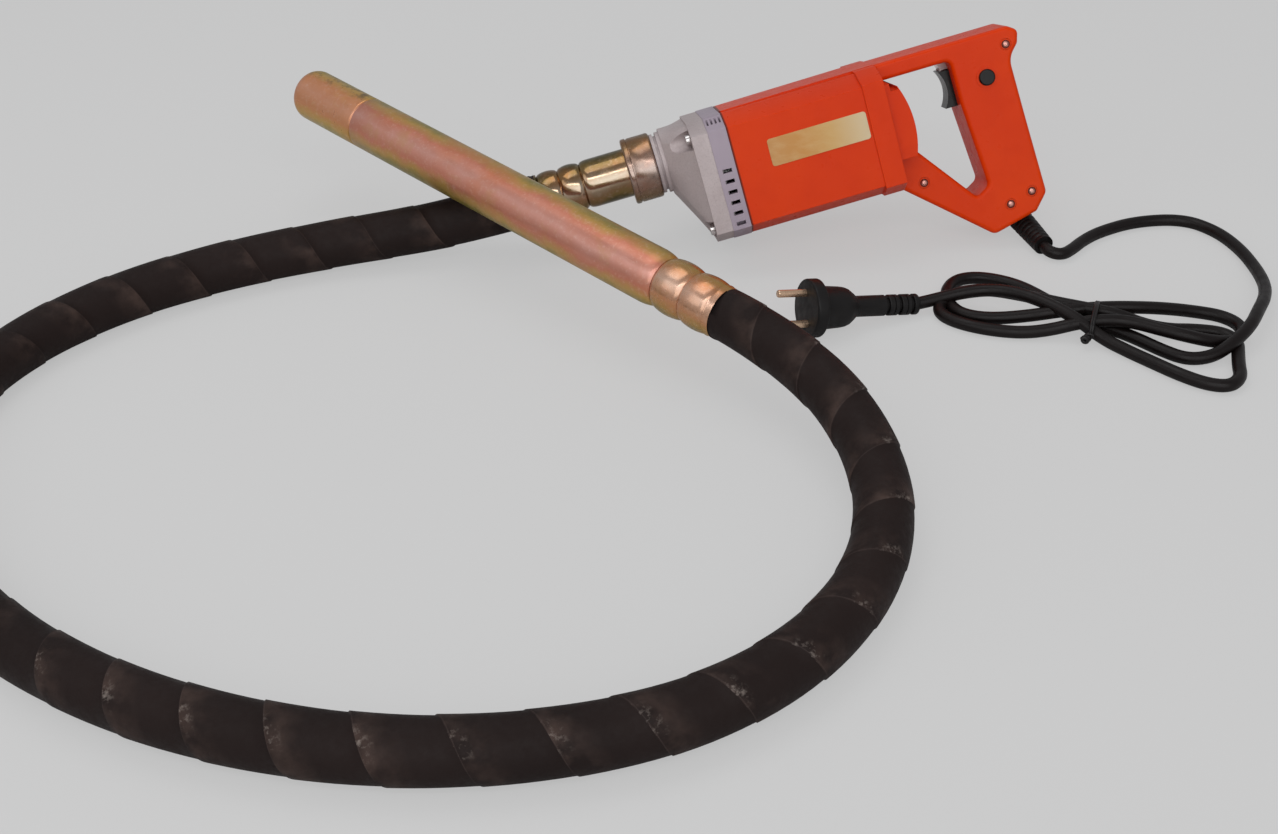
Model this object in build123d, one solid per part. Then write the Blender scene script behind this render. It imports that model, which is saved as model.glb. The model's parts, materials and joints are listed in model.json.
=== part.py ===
from build123d import *
from math import acos, cos, degrees, pi, radians, sin, tan
import os

# A portable electric concrete vibrator: a hand-held drive unit, a flexible hose and a poker head.
# The drive unit and the poker are each modelled along their own X axis and placed at the end.
# Drive unit: X runs aft along the motor axis from the front edge of the housing, Z is up.
# Poker: X runs from the hose end to the tip. All sizes are in millimetres.

# Clearances
RUN = 0.05            # radial gap of a shaft in its bore
PLAY = 0.3            # gap between curved faces of different pieces
SEAM = 0.15           # half the gap between the two handle halves

# Where the drive unit rests: it leans on the far lower corner of the gear case and the handle's toe
DRIVE_AT = (43, 35, 51.6)
DRIVE_PITCH = 12.9
DRIVE_LEAN = 19.0

# Everything moves by this, so that the drive unit and poker stand centred over the origin
CENTRING = (-1.8, -7.8, 0.3)

# Drive unit, common section
BODY_HALF_W = 42.0
BODY_HALF_H = 40.0
BEVEL_W = 17.0
BEVEL_H = 7.5
HOUSING_LEN = 104.0
HOUSING_BORE_R = 36.3
BAND_FROM = 90.0
BAND_PROUD = 1.4
RIDGE_HALF_W = 18.0
RIDGE_TOP = 41.8
BELL_LEN = 14.5
BELL_TOP = 29.7
BELL_BOTTOM = -20.2
BELL_HALF_W = 37.0
BELL_BOW = 7.0
HANGING_SLOT = (HOUSING_LEN + 6.5, 27.5)
RATING_X = (23.0, 88.5)
RATING_Z = (0.0, 18.0)

# Gear case, vent ring and their screws
RING_LEN = 12.0
RING_WALL = 4.0
FLANGE_LEN = 11.0
NOSE_LEN = 18.0
NOSE_R = 22.0
SCREW_PITCH = 60.0
SCREW_R = 2.0
SCREW_HEAD_R = 3.7
SCREW_POCKET_R = 6.2
BOSS_RIB = 3.0
SLOT_COUNT = 6
SLOT_PITCH = 7.0
SLOT_H = 2.4
SLOT_LEN = 6.0
SLOT_TOP = 7.0
TOP_SLOT_COUNT = 4
TOP_SLOT_PITCH = 2.7

# Reduction gears
MODULE = 0.9
PINION_TEETH = 11
GEAR_TEETH = 27
TOOTH_SHIFT = 0.35
PRESSURE_ANGLE = 20.0
BACKLASH = 0.12
GEAR_FACE = 9.0
AXIS_RISE = MODULE * (PINION_TEETH + GEAR_TEETH) / 2

# Output spindle and its bearings
SPINDLE_R = 6.0
SPINDLE_TAIL_R = 4.0
FRONT_BEARING = (28.0, 8.0)
REAR_BEARING = (16.0, 5.0)
NECK_R = 20.3
SPIGOT_R = 17.5
SPIGOT_END = -60.0
SOCKET_HALF = 3.5

# Coupling nut and drive-end ferrule
NUT_R = 21.9
NUT_FROM = -67.0
NUT_TO = -47.8
NUT_LIP = 3.6
FERRULE_R = 16.0
FERRULE_STEP = -97.0
FERRULE_END = -128.0
FERRULE_BORE_R = 9.6
GROOVE_R = 14.4

# Motor
SHAFT_R = 4.0
PINION_BORE_R = 2.6
SHAFT_FRONT = -32.0
SHAFT_REAR = 116.0
CORE_FROM = 22.0
CORE_LEN = 40.0
CORE_R = 21.4
AIR_GAP = 0.6
CORE_SLOTS = 12
CORE_SLOT_W = 3.4
CORE_SLOT_DEPTH = 9.0
WINDING_OVERHANG = 7.0
STATOR_R = 36.0
YOKE_R = 31.0
COMM_FROM = 75.0
COMM_LEN = 16.0
COMM_R = 12.0
COMM_BARS = 20
FAN_FROM = -2.5
FAN_LEN = 12.0
FAN_R = 31.0
FAN_BLADES = 11
MOTOR_BEARING = (16.0, 5.0)
TAIL_BEARING = (19.0, 6.0)
BRUSH_W = 7.0
BRUSH_H = 9.0
BRUSH_LEN = 12.0
HOLDER_LEN = 17.6
HOLDER_WALL = 1.2

# Handle
HANDLE_HALF_T = 19.0
HANDLE_WALL = 3.0
HANDLE_TOP = 41.5
HANDLE_EDGE_R = 3.0
HANDLE_OUTLINE = [(96, 41.5), (194, 41.5), (200.5, 37), (198.5, 29), (191.5, 21), (193.5, -20),
                  (196.5, -71), (187.5, -81.8), (157, -89.3), (125, -61), (96, -35.5)]
HANDLE_OUTLINE_R = [0, 5, 4, 5, 14, 60, 6, 3, 6, 30, 0]
GRIP_OPENING = [(96, 30), (153, 30), (154, 0), (160, -56), (151, -61.5), (119, -20.5), (96, -20.5)]
GRIP_OPENING_R = [0, 4, 60, 5, 3, 5, 0]
HANDLE_SCREWS = [(190.5, 30.5), (118.7, -42), (171.3, -72), (186.7, -67.5)]
HANDLE_SCREW_R = 1.7
HANDLE_SCREW_HEAD_R = 3.3
HANDLE_BOSS_R = 5.2

# Trigger, lock button and switch
TRIGGER_Z = (-0.8, 23.6)
TRIGGER_X = (146.0, 161.0)
TRIGGER_HALF_T = 7.5
TRIGGER_TRAVEL = 6.0
PLUNGER_R = 2.0
PLUNGER_Z = 2.0
LOCK_AT = (173.9, 13.4)
LOCK_R = 5.3
LOCK_STEM_R = 2.0
LOCK_PROUD = 2.4
LOCK_TRAVEL = 2.5
SWITCH_X = (167.5, 186.0)
SWITCH_Z = (-12.0, 25.0)
SWITCH_HALF_T = 11.0

# Cord entry in the handle's toe, as a point on the toe face and the tilt of its axis from -Z
ENTRY_AT = (177.5, -83.6)
ENTRY_TILT = 14.0
GUARD_R = 6.2
GUARD_FLANGE_R = 8.5

# Poker head
HEAD_R = 17.5
HEAD_LEN = 386.0
HEAD_FROM = (5.6, -142.4, 47.0)
HEAD_TOWARD = (-236.5, 160.9, 77.0)
HEAD_FERRULE_LEN = 61.0
HEAD_GROOVES = (25.0, 46.5)
HEAD_GROOVE_R = 15.0
TIP_LEN = 65.0
TIP_NOSE_R = 9.0
TUBE_BORE_R = 13.5
RACE_R = 12.75
ROLLER_R = 9.0
ROLLER_LEN = 16.0
BALL_R = 6.5
BALL_AT = 118.0
ROLLER_AT = 359.0
HEAD_BEARING = (27.0, 8.0)
STUB_R = 5.0
STUB_BEARINGS = (74.0, 94.0)
THREAD_R = 15.2
THREAD_LEN = 12.0

# Hose with its liner and core: the route of its centre line, on the floor except at its ends
HOSE_R = 15.7
HOSE_BORE_R = 9.4
LINER_BORE_R = 7.2
CORE_CABLE_R = 6.5
FLOOR_Z = 15.9
HOSE_LEAD = 35.0
HOSE_ROUTE = [(-165, 43, 22), (-228, 42, 17), (-298, 26, FLOOR_Z), (-364, -6, FLOOR_Z),
              (-417, -56, FLOOR_Z), (-446, -122, FLOOR_Z), (-446, -195, FLOOR_Z), (-423, -264, FLOOR_Z),
              (-382, -324, FLOOR_Z), (-328, -373, FLOOR_Z), (-266, -410, FLOOR_Z), (-197, -434, FLOOR_Z),
              (-125, -441, FLOOR_Z), (-58, -431, FLOOR_Z), (1, -399, FLOOR_Z), (45, -347, FLOOR_Z),
              (65, -286, 21), (57, -222, 34)]

# Power cord
CORD_R = 4.0
CORD_Z = 4.2
GUARD_DROP = 7.8
GUARD_ROUTE = [(240.3, -9.5, 6.4), (242.2, -22, 6.4)]
GUARD_BEND_R = [9.0, 12.0]
CORD_ROUTE = [(243.7, -31.9, 6.4), (251, -33, 5.0), (262, -22.5, CORD_Z), (281, -12, CORD_Z), (316, 0.5, CORD_Z),
              (351, -3, CORD_Z), (366.5, -28, CORD_Z), (367, -72, CORD_Z), (358, -108, CORD_Z),
              (339, -138.7, CORD_Z)]
HANK_RIGHT = [(245, -115.5), (266, -121), (288, -120), (309, -121), (322, -127), (329, -137), (336, -134.7),
              (344, -139.3), (332, -157), (317, -170), (306, -177), (309, -190), (301, -201), (287, -203),
              (274, -195), (262, -179), (251, -160), (233, -138.5)]
HANK_LEFT = [(245, -115.5), (233, -138.5), (222, -133.5), (201, -128), (182, -122), (163, -115.5), (153, -106),
             (149.5, -95), (150.4, -87), (151.9, -77.5), (154.5, -74), (160, -63), (171, -56.5), (189, -55.5),
             (206, -64), (220, -82), (229, -99)]
HANK_Z = (0.3, 13.0)
TIE_AT = (239, -127)
TIE_TURN = -28.0
TIE_W = 4.0
PLUG_TAIL = (138.5, -84.4, 6.5)
PLUG_FACE = (64.9, -96.9, 18.2)
PLUG_CORD_LEN = 15.0
PLUG_R = 18.2
PLUG_RIM = 8.0
PIN_R = 2.4
PIN_TAIL_R = 2.0
PIN_LEN = 19.0
PIN_GAP = 19.0
PIN_LEAN = 31.0
SLEEVE_R = 6.6
SLEEVE_GROOVES = [3.4, 12.0, 20.6]
SLEEVE_GROOVE_W = 1.7
SLEEVE_GROOVE_DEPTH = 1.4


def rod(radius, x0, x1, y=0.0, z=0.0):
    """A cylinder along X."""
    return Pos((x0 + x1) / 2, y, z) * Rot(0, 90, 0) * Cylinder(radius, x1 - x0)


def ring(outer, inner, x0, x1, z=0.0):
    """A plain ring about an axis along X."""
    return rod(outer, x0, x1, 0, z) - rod(inner, x0 - 1, x1 + 1, 0, z)


def block(x0, x1, y0, y1, z0, z1):
    """A box given by its limits."""
    return Pos((x0 + x1) / 2, (y0 + y1) / 2, (z0 + z1) / 2) * Box(x1 - x0, y1 - y0, z1 - z0)


def lathe(profile, z=0.0):
    """A turned piece about an axis along X: the profile lists (x, radius)."""
    face = make_face(Polyline(*profile, close=True))
    return Pos(0, 0, z) * revolve(face, axis=Axis.X)


def cross_section(x, outline):
    """A closed outline of (y, z) points as a face across the X axis."""
    plane = Plane(origin=(x, 0, 0), x_dir=(0, 1, 0), z_dir=(1, 0, 0))
    return plane * make_face(Polyline(*outline, close=True))


def octagon(grow=0.0):
    """The body's outline: a box with long shallow bevels on all four corners."""
    w = BODY_HALF_W + grow
    h = BODY_HALF_H + grow
    a = w - BEVEL_W
    b = h - BEVEL_H
    return [(-w, -b), (-a, -h), (a, -h), (w, -b), (w, b), (a, h), (-a, h), (-w, b)]


def side_plate(face_wire, y0, y1):
    """A flat outline of (x, z) points given thickness from y0 to y1."""
    plane = Plane(origin=(0, y1, 0), x_dir=(1, 0, 0), z_dir=(0, -1, 0))
    return extrude(plane * face_wire, y1 - y0)


def tube_along(path, radius):
    """A round bar along a path."""
    section = Plane(origin=path @ 0, z_dir=path % 0) * Circle(radius)
    return sweep(section, path=path)


def one(shape):
    """The largest solid of a shape, without stray slivers."""
    return sorted(shape.solids(), key=lambda s: s.volume)[-1]


# ---------------------------------------------------------------- gears


def involute(angle):
    return tan(angle) - angle


def gear(teeth, shift, bore_r, x0, x1):
    """A spur gear about the X axis with involute flanks, its first tooth centred on +Z."""
    pitch_r = MODULE * teeth / 2
    press = radians(PRESSURE_ANGLE)
    base_r = pitch_r * cos(press)
    tip_r = pitch_r + MODULE * (0.9 + shift)
    root_r = pitch_r - MODULE * (1.25 - shift)
    half_at_pitch = (pi / 2 + 2 * shift * tan(press)) / teeth - BACKLASH / 2 / pitch_r / 2
    start_r = max(base_r, root_r)
    flank = []
    for step in range(5):
        r = start_r + (tip_r - start_r) * step / 4
        flank.append((r, half_at_pitch + involute(press) - involute(acos(min(1.0, base_r / r)))))
    outline = []
    for k in range(teeth):
        mid = pi / 2 + 2 * pi * k / teeth
        foot = flank[0][1]
        outline.append((root_r * cos(mid - foot), root_r * sin(mid - foot)))
        if start_r > root_r + 0.01:
            outline += [(r * cos(mid - a), r * sin(mid - a)) for r, a in flank]
            outline += [(r * cos(mid + a), r * sin(mid + a)) for r, a in reversed(flank)]
        else:
            outline += [(r * cos(mid - a), r * sin(mid - a)) for r, a in flank[1:]]
            outline += [(r * cos(mid + a), r * sin(mid + a)) for r, a in reversed(flank[1:])]
        outline.append((root_r * cos(mid + foot), root_r * sin(mid + foot)))
    blank = extrude(cross_section(x0, outline), x1 - x0)
    return blank - rod(bore_r, x0 - 1, x1 + 1)


# ---------------------------------------------------------------- gear case and output


def screw_places():
    half = SCREW_PITCH / 2
    return [(y, z) for y in (-half, half) for z in (-half, half)]


FLANGE_BACK = -RING_LEN
FLANGE_FRONT = FLANGE_BACK - FLANGE_LEN
NOSE_FRONT = FLANGE_FRONT - NOSE_LEN
GEAR_BACK = FLANGE_BACK - 2.5
GEAR_FRONT = GEAR_BACK - GEAR_FACE
CAVITY_FRONT = GEAR_FRONT - 1.5
FRONT_BEARING_BACK = -45.0
FRONT_BEARING_FRONT = FRONT_BEARING_BACK - FRONT_BEARING[1]


def gear_case():
    flange = extrude(cross_section(FLANGE_FRONT, octagon()), FLANGE_LEN)
    back = cross_section(FLANGE_FRONT, octagon(-1.5))
    front_plane = Plane(origin=(NOSE_FRONT, 0, AXIS_RISE), x_dir=(0, 1, 0), z_dir=(1, 0, 0))
    nose = loft([back, front_plane * Circle(NOSE_R)])
    neck = rod(NECK_R, NOSE_FRONT - 2.6, NOSE_FRONT + 1, 0, AXIS_RISE)
    groove = rod(NECK_R - 2.2, NOSE_FRONT - 4.4, NOSE_FRONT - 2.6, 0, AXIS_RISE)
    step = rod(NECK_R - 0.6, NUT_TO + 0.3, NOSE_FRONT - 4.4, 0, AXIS_RISE)
    spigot = rod(SPIGOT_R, SPIGOT_END, NUT_TO + 1, 0, AXIS_RISE)
    body = flange + nose + neck + groove + step + spigot
    for y, z in screw_places():
        body -= rod(SCREW_POCKET_R, NOSE_FRONT - 5, FLANGE_FRONT, y, z)
        outer = 8 if y > 0 else -8
        body -= block(NOSE_FRONT - 5, FLANGE_FRONT, min(y, y + outer * 3), max(y, y + outer * 3),
                      z - SCREW_POCKET_R, z + SCREW_POCKET_R)
        body -= rod(SCREW_R + 0.2, FLANGE_FRONT - 1, 1, y, z)
    body -= rod(FRONT_BEARING[0] / 2, FRONT_BEARING_FRONT, FRONT_BEARING_BACK, 0, AXIS_RISE)
    body -= rod(FRONT_BEARING[0] / 2 - 2, SPIGOT_END - 1, CAVITY_FRONT, 0, AXIS_RISE)
    body -= rod(FRONT_BEARING[0] / 2, SPIGOT_END - 1, FRONT_BEARING_FRONT, 0, AXIS_RISE)
    body -= rod(MODULE * GEAR_TEETH / 2 + 3, CAVITY_FRONT, FLANGE_BACK + 1, 0, AXIS_RISE)
    body -= rod(10, CAVITY_FRONT, FLANGE_BACK + 1)
    return one(body)


def gear_case_screws():
    screws = []
    for y, z in screw_places():
        head = rod(SCREW_HEAD_R, FLANGE_FRONT - 3.0, FLANGE_FRONT, y, z)
        shank = rod(SCREW_R, FLANGE_FRONT - 0.5, 14, y, z)
        slot = rod(SCREW_R * 0.7, FLANGE_FRONT - 3.5, FLANGE_FRONT - 1.5, y, z)
        screws.append(one(head + shank - slot))
    return screws


def vent_ring():
    hoop = extrude(cross_section(FLANGE_BACK, octagon(0.4)), RING_LEN)
    hoop -= extrude(cross_section(FLANGE_BACK - 1, octagon(-RING_WALL)), RING_LEN + 2)
    for y, z in screw_places():
        out = BODY_HALF_W - RING_WALL + 1
        hoop += rod(SCREW_R + 3.4, FLANGE_BACK, 0, y, z)
        hoop += block(FLANGE_BACK, 0, min(y, y * out / abs(y)), max(y, y * out / abs(y)), z - BOSS_RIB, z + BOSS_RIB)
        hoop -= rod(SCREW_R + 0.2, FLANGE_BACK - 1, 1, y, z)
    mid = FLANGE_BACK / 2
    for side in (-1, 1):
        for k in range(SLOT_COUNT):
            z = SLOT_TOP - k * SLOT_PITCH
            y = side * BODY_HALF_W
            hoop -= block(mid - SLOT_LEN / 2, mid + SLOT_LEN / 2, y - 6, y + 6, z - SLOT_H, z)
        for k in range(TOP_SLOT_COUNT):
            x = mid - 4 + k * TOP_SLOT_PITCH
            y = side * (BODY_HALF_W - BEVEL_W / 2 - 2)
            hoop -= block(x - 0.6, x + 0.6, y - 3.5, y + 3.5, BODY_HALF_H - BEVEL_H, BODY_HALF_H + 2)
    return one(hoop)


def bearing_plate():
    """The plate between gear case and motor, held in the ring by the four long screws."""
    plate = extrude(cross_section(FLANGE_BACK, octagon(-RING_WALL - PLAY)), 4.0)
    plate += rod(MOTOR_BEARING[0] / 2 + 2.5, FLANGE_BACK, FLANGE_BACK + MOTOR_BEARING[1] + 1)
    for y, z in screw_places():
        out = BODY_HALF_W
        plate -= rod(SCREW_R + 3.7, FLANGE_BACK - 1, 1, y, z)
        plate -= block(FLANGE_BACK - 1, 1, min(y, y * out / abs(y)), max(y, y * out / abs(y)),
                       z - BOSS_RIB - PLAY, z + BOSS_RIB + PLAY)
    plate -= rod(MOTOR_BEARING[0] / 2, FLANGE_BACK + 1, 1)
    plate -= rod(SHAFT_R + 1.5, FLANGE_BACK - 1, 1)
    plate += rod(REAR_BEARING[0] / 2 + 1.2, FLANGE_BACK, FLANGE_BACK + REAR_BEARING[1] + 0.8, 0,
                 AXIS_RISE) - rod(MOTOR_BEARING[0] / 2 + 0.1, FLANGE_BACK, 1)
    plate -= rod(REAR_BEARING[0] / 2, FLANGE_BACK - 1, FLANGE_BACK + REAR_BEARING[1], 0, AXIS_RISE)
    for side in (-1, 1):
        plate -= block(FLANGE_BACK - 1, 1, side * 27 - 6, side * 27 + 6, -12, 12)
    return one(plate)


def spindle():
    z = AXIS_RISE
    shaft = rod(SPINDLE_TAIL_R, FLANGE_BACK - 1, FLANGE_BACK + REAR_BEARING[1] - 0.3, 0, z)
    shaft += rod(SPINDLE_R, FRONT_BEARING_FRONT - 5, FLANGE_BACK - PLAY, 0, z)
    shaft += rod(SPINDLE_R + 2, FRONT_BEARING_BACK + 0.3, GEAR_FRONT - 0.3, 0, z)
    shaft -= block(FRONT_BEARING_FRONT - 6, FRONT_BEARING_FRONT + 3, -SOCKET_HALF, SOCKET_HALF,
                   z - SOCKET_HALF, z + SOCKET_HALF)
    return one(shaft)


def spindle_gear():
    """Its tooth space faces the pinion's first tooth, half a tooth pitch off the +Z tooth."""
    wheel = gear(GEAR_TEETH, -TOOTH_SHIFT, SPINDLE_R, GEAR_FRONT, GEAR_BACK)
    turn = 0 if GEAR_TEETH % 2 else 180 / GEAR_TEETH
    for k in range(6):
        a = 2 * pi * k / 6
        wheel -= rod(1.6, GEAR_FRONT - 1, GEAR_BACK + 1, 8.6 * cos(a), 8.6 * sin(a))
    return Pos(0, 0, AXIS_RISE) * Rot(turn, 0, 0) * one(wheel)


def bearing(size, bore_r, x0, z=0.0):
    """A shielded ball bearing as one closed ring with shallow shield recesses."""
    outer = size[0] / 2
    x1 = x0 + size[1]
    race = ring(outer, bore_r, x0, x1, z)
    for a, b in ((x0 - 1, x0 + 0.4), (x1 - 0.4, x1 + 1)):
        race -= ring(outer - 1.6, bore_r + 1.4, a, b, z)
    return one(race)


def coupling_nut():
    z = AXIS_RISE
    nut = lathe([(NUT_FROM, FERRULE_R + PLAY), (NUT_FROM, NUT_R - 2.5), (NUT_FROM + 0.8, NUT_R - 0.8),
                 (NUT_FROM + 2.5, NUT_R), (NUT_TO - 0.8, NUT_R), (NUT_TO, NUT_R - 0.8),
                 (NUT_TO, SPIGOT_R + PLAY), (NUT_FROM + NUT_LIP, SPIGOT_R + PLAY),
                 (NUT_FROM + NUT_LIP, FERRULE_R + PLAY)], z)
    return one(nut)


def barrel(x0, x1, r0, r1, crown):
    """Profile points of a rolled bulge from (x0, r0) to (x1, r1), its crown above the chord."""
    points = []
    for k in range(13):
        t = k / 12
        points.append((x0 + (x1 - x0) * t, r0 + (r1 - r0) * t + crown * 4 * t * (1 - t)))
    return points


def drive_ferrule():
    """The steel end of the hose: a flange under the nut, a plain tube and a crimped tail."""
    z = AXIS_RISE
    seat = SPIGOT_END - 0.3
    outline = [(seat, FERRULE_BORE_R), (seat, SPIGOT_R - 0.2), (NUT_FROM + NUT_LIP + 0.1, SPIGOT_R - 0.2),
               (NUT_FROM + NUT_LIP + 0.1, FERRULE_R), (FERRULE_STEP + 5, FERRULE_R),
                (FERRULE_STEP + 2.5, FERRULE_R - 0.35), (FERRULE_STEP + 1, FERRULE_R - 1.0)]
    middle = (FERRULE_STEP + FERRULE_END) / 2
    outline += barrel(FERRULE_STEP, middle, GROOVE_R, GROOVE_R, 1.6)
    outline += barrel(middle, FERRULE_END, GROOVE_R, HOSE_R - 0.2, 1.1)[1:]
    outline += [(FERRULE_END, FERRULE_BORE_R)]
    return one(lathe(outline, z))


def core_drive_end():
    """The square dog on the flexible core, seated in the spindle's socket."""
    z = AXIS_RISE
    side = SOCKET_HALF - 0.05
    dog = block(FRONT_BEARING_FRONT - 12, FRONT_BEARING_FRONT + 2.5, -side, side, z - side, z + side)
    return one(dog + rod(CORE_CABLE_R + 1.5, FERRULE_STEP + 6, FRONT_BEARING_FRONT - 10, 0, z))


# ---------------------------------------------------------------- motor


def motor_pinion():
    return one(gear(PINION_TEETH, TOOTH_SHIFT, PINION_BORE_R, GEAR_FRONT - 0.5, GEAR_BACK + 0.5))


def armature_shaft():
    shaft = rod(SHAFT_R, GEAR_BACK + 0.8, SHAFT_REAR - TAIL_BEARING[1] - PLAY)
    shaft += rod(PINION_BORE_R, GEAR_FRONT - 1, GEAR_BACK + 1)
    shaft += rod(SHAFT_R - 1, SHAFT_REAR - 7, SHAFT_REAR)
    return one(shaft)


def slot_bar(radius_out, depth, width, x0, x1, angle):
    return Rot(angle, 0, 0) * block(x0, x1, -width / 2, width / 2, radius_out - depth, radius_out + 1)


def armature_core():
    core = ring(CORE_R, SHAFT_R, CORE_FROM, CORE_FROM + CORE_LEN)
    for k in range(CORE_SLOTS):
        core -= slot_bar(CORE_R, CORE_SLOT_DEPTH, CORE_SLOT_W, CORE_FROM - 1, CORE_FROM + CORE_LEN + 1,
                         360 * k / CORE_SLOTS)
    return one(core)


def armature_windings():
    x0 = CORE_FROM
    x1 = CORE_FROM + CORE_LEN
    out = CORE_R - 1.2
    coil = ring(out, SHAFT_R + 2, x0 - WINDING_OVERHANG, x0 - 0.1)
    coil += ring(out, SHAFT_R + 2, x1 + 0.1, x1 + WINDING_OVERHANG)
    for k in range(CORE_SLOTS):
        bar = block(x0 - 1, x1 + 1, -CORE_SLOT_W / 2 + 0.1, CORE_SLOT_W / 2 - 0.1,
                    CORE_R - CORE_SLOT_DEPTH + 0.1, out)
        coil += Rot(360 * k / CORE_SLOTS, 0, 0) * bar
    return one(coil)


def commutator():
    drum = ring(COMM_R, SHAFT_R, COMM_FROM, COMM_FROM + COMM_LEN)
    drum += ring(COMM_R + 1.2, SHAFT_R, COMM_FROM, COMM_FROM + 1.6)
    for k in range(COMM_BARS):
        drum -= slot_bar(COMM_R, 1.0, 0.5, COMM_FROM + 1.6, COMM_FROM + COMM_LEN + 1, 360 * k / COMM_BARS)
    return one(drum)


def fan():
    disc = ring(FAN_R, SHAFT_R, FAN_FROM + FAN_LEN - 1.6, FAN_FROM + FAN_LEN)
    disc += ring(SHAFT_R + 4, SHAFT_R, FAN_FROM + 3, FAN_FROM + FAN_LEN)
    for k in range(FAN_BLADES):
        blade = block(FAN_FROM, FAN_FROM + FAN_LEN - 1, -0.8, 0.8, 15.0, FAN_R)
        disc += Rot(360 * k / FAN_BLADES, 0, 0) * blade
    return one(disc)


def wedge(inner, outer, x0, x1, from_deg, to_deg):
    """A sector of a ring about X, its angles measured from +Y towards +Z."""
    points = []
    steps = 10
    for k in range(steps + 1):
        a = radians(from_deg + (to_deg - from_deg) * k / steps)
        points.append((outer * cos(a), outer * sin(a)))
    for k in range(steps + 1):
        a = radians(to_deg - (to_deg - from_deg) * k / steps)
        points.append((inner * cos(a), inner * sin(a)))
    return extrude(cross_section(x0, points), x1 - x0)


def stator_core():
    x0 = CORE_FROM
    x1 = CORE_FROM + CORE_LEN
    core = ring(STATOR_R, CORE_R + AIR_GAP, x0, x1)
    for mid in (0, 180):
        core -= wedge(CORE_R + AIR_GAP - 1, YOKE_R, x0 - 1, x1 + 1, mid - 48, mid + 48)
    return one(core)


def field_coils():
    x0 = CORE_FROM - WINDING_OVERHANG
    x1 = CORE_FROM + CORE_LEN + WINDING_OVERHANG
    inner = CORE_R + AIR_GAP + 1.2
    outer = YOKE_R - 0.6
    coils = []
    for side in (0, 180):
        coil = wedge(inner, outer, x0, x1, side + 10, side + 46)
        coil += wedge(inner, outer, x0, x1, side + 134, side + 170)
        coil += wedge(inner, outer, x0, CORE_FROM - 0.8, side + 10, side + 170)
        coil += wedge(inner, outer, CORE_FROM + CORE_LEN + 0.8, x1, side + 10, side + 170)
        coils.append(one(coil))
    return coils


def brush_gear():
    """Two brass holders across the commutator, each with its carbon and its spring."""
    mid = COMM_FROM + COMM_LEN / 2 + 1
    holders = []
    carbons = []
    springs = []
    for side in (-1, 1):
        inner = COMM_R + 1.0
        outer = inner + HOLDER_LEN
        half_w = BRUSH_W / 2
        half_h = BRUSH_H / 2
        t = HOLDER_WALL
        y0, y1 = sorted((side * inner, side * (outer + 2.6)))
        holder = block(mid - half_w - t, mid + half_w + t, y0, y1, -half_h - t, half_h + t)
        y0, y1 = sorted((side * (inner - 1), side * outer))
        holder -= block(mid - half_w - RUN, mid + half_w + RUN, y0, y1, -half_h - RUN, half_h + RUN)
        holders.append(one(holder))
        face = COMM_R + RUN
        c0, c1 = sorted((side * face, side * (face + BRUSH_LEN)))
        carbons.append(block(mid - BRUSH_W / 2, mid + BRUSH_W / 2, c0, c1, -BRUSH_H / 2, BRUSH_H / 2).solid())
        s0 = side * (face + BRUSH_LEN + 0.1)
        s1 = side * (outer - 0.1)
        lo, hi = sorted((s0, s1))
        turns = Helix(pitch=1.7, height=hi - lo - 1.2, radius=2.6)
        wire = sweep(Plane(origin=turns @ 0, z_dir=turns % 0) * Circle(0.35), path=turns)
        springs.append((Pos(mid, lo + 0.6, 0) * Rot(-90, 0, 0) * wire).solid())
    return holders, carbons, springs


# ---------------------------------------------------------------- motor housing


def motor_housing():
    shell = extrude(cross_section(0, octagon()), HOUSING_LEN)
    band = extrude(cross_section(BAND_FROM, octagon(BAND_PROUD)), HOUSING_LEN - BAND_FROM)
    shell += band
    w = RIDGE_HALF_W
    ridge_plane = Plane(origin=(0, w, 0), x_dir=(1, 0, 0), z_dir=(0, -1, 0))
    ridge_side = make_face(Polyline((0, BODY_HALF_H - 2), (0, RIDGE_TOP - 0.9), (HOUSING_LEN, RIDGE_TOP),
                                    (HOUSING_LEN, BODY_HALF_H - 9), close=True))
    shell += extrude(ridge_plane * ridge_side, 2 * w)
    x0 = HOUSING_LEN
    bell_top = BELL_TOP
    arc = ThreePointArc((x0 + BELL_LEN - BELL_BOW, bell_top), (x0 + BELL_LEN, 4),
                        (x0 + BELL_LEN - 3, BELL_BOTTOM))
    sides = Polyline((x0 + BELL_LEN - 3, BELL_BOTTOM), (x0 - 2, BELL_BOTTOM), (x0 - 2, bell_top),
                     (x0 + BELL_LEN - BELL_BOW, bell_top))
    bell = side_plate(make_face(arc + sides), -BELL_HALF_W, BELL_HALF_W)
    shell += bell
    shell -= rod(HOUSING_BORE_R, -1, CORE_FROM + CORE_LEN + 0.2)
    shell -= rod(STATOR_R - 2, -1, BAND_FROM + 8)
    shell -= rod(TAIL_BEARING[0] / 2, BAND_FROM + 7, SHAFT_REAR + 0.3)
    for y, z in screw_places():
        shell -= rod(SCREW_R + RUN, -1, 15, y, z)
    x, z = HANGING_SLOT
    shell -= block(x - 2.4, x + 2.4, -BELL_HALF_W - 1, BELL_HALF_W + 1, z - 3, BELL_TOP + 1)
    return one(shell)



def rating_plate():
    """A blank plate on the flat side of the housing."""
    x0, x1 = RATING_X
    z0, z1 = RATING_Z
    y = -BODY_HALF_W - 0.5
    plate = side_plate(make_face(Polyline((x0, z0), (x1, z0), (x1, z1), (x0, z1), close=True)), y, y + 0.5)
    upright = plate.edges().filter_by(Axis.Y)
    return one(fillet(upright, 2.0))



# ---------------------------------------------------------------- handle


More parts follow.
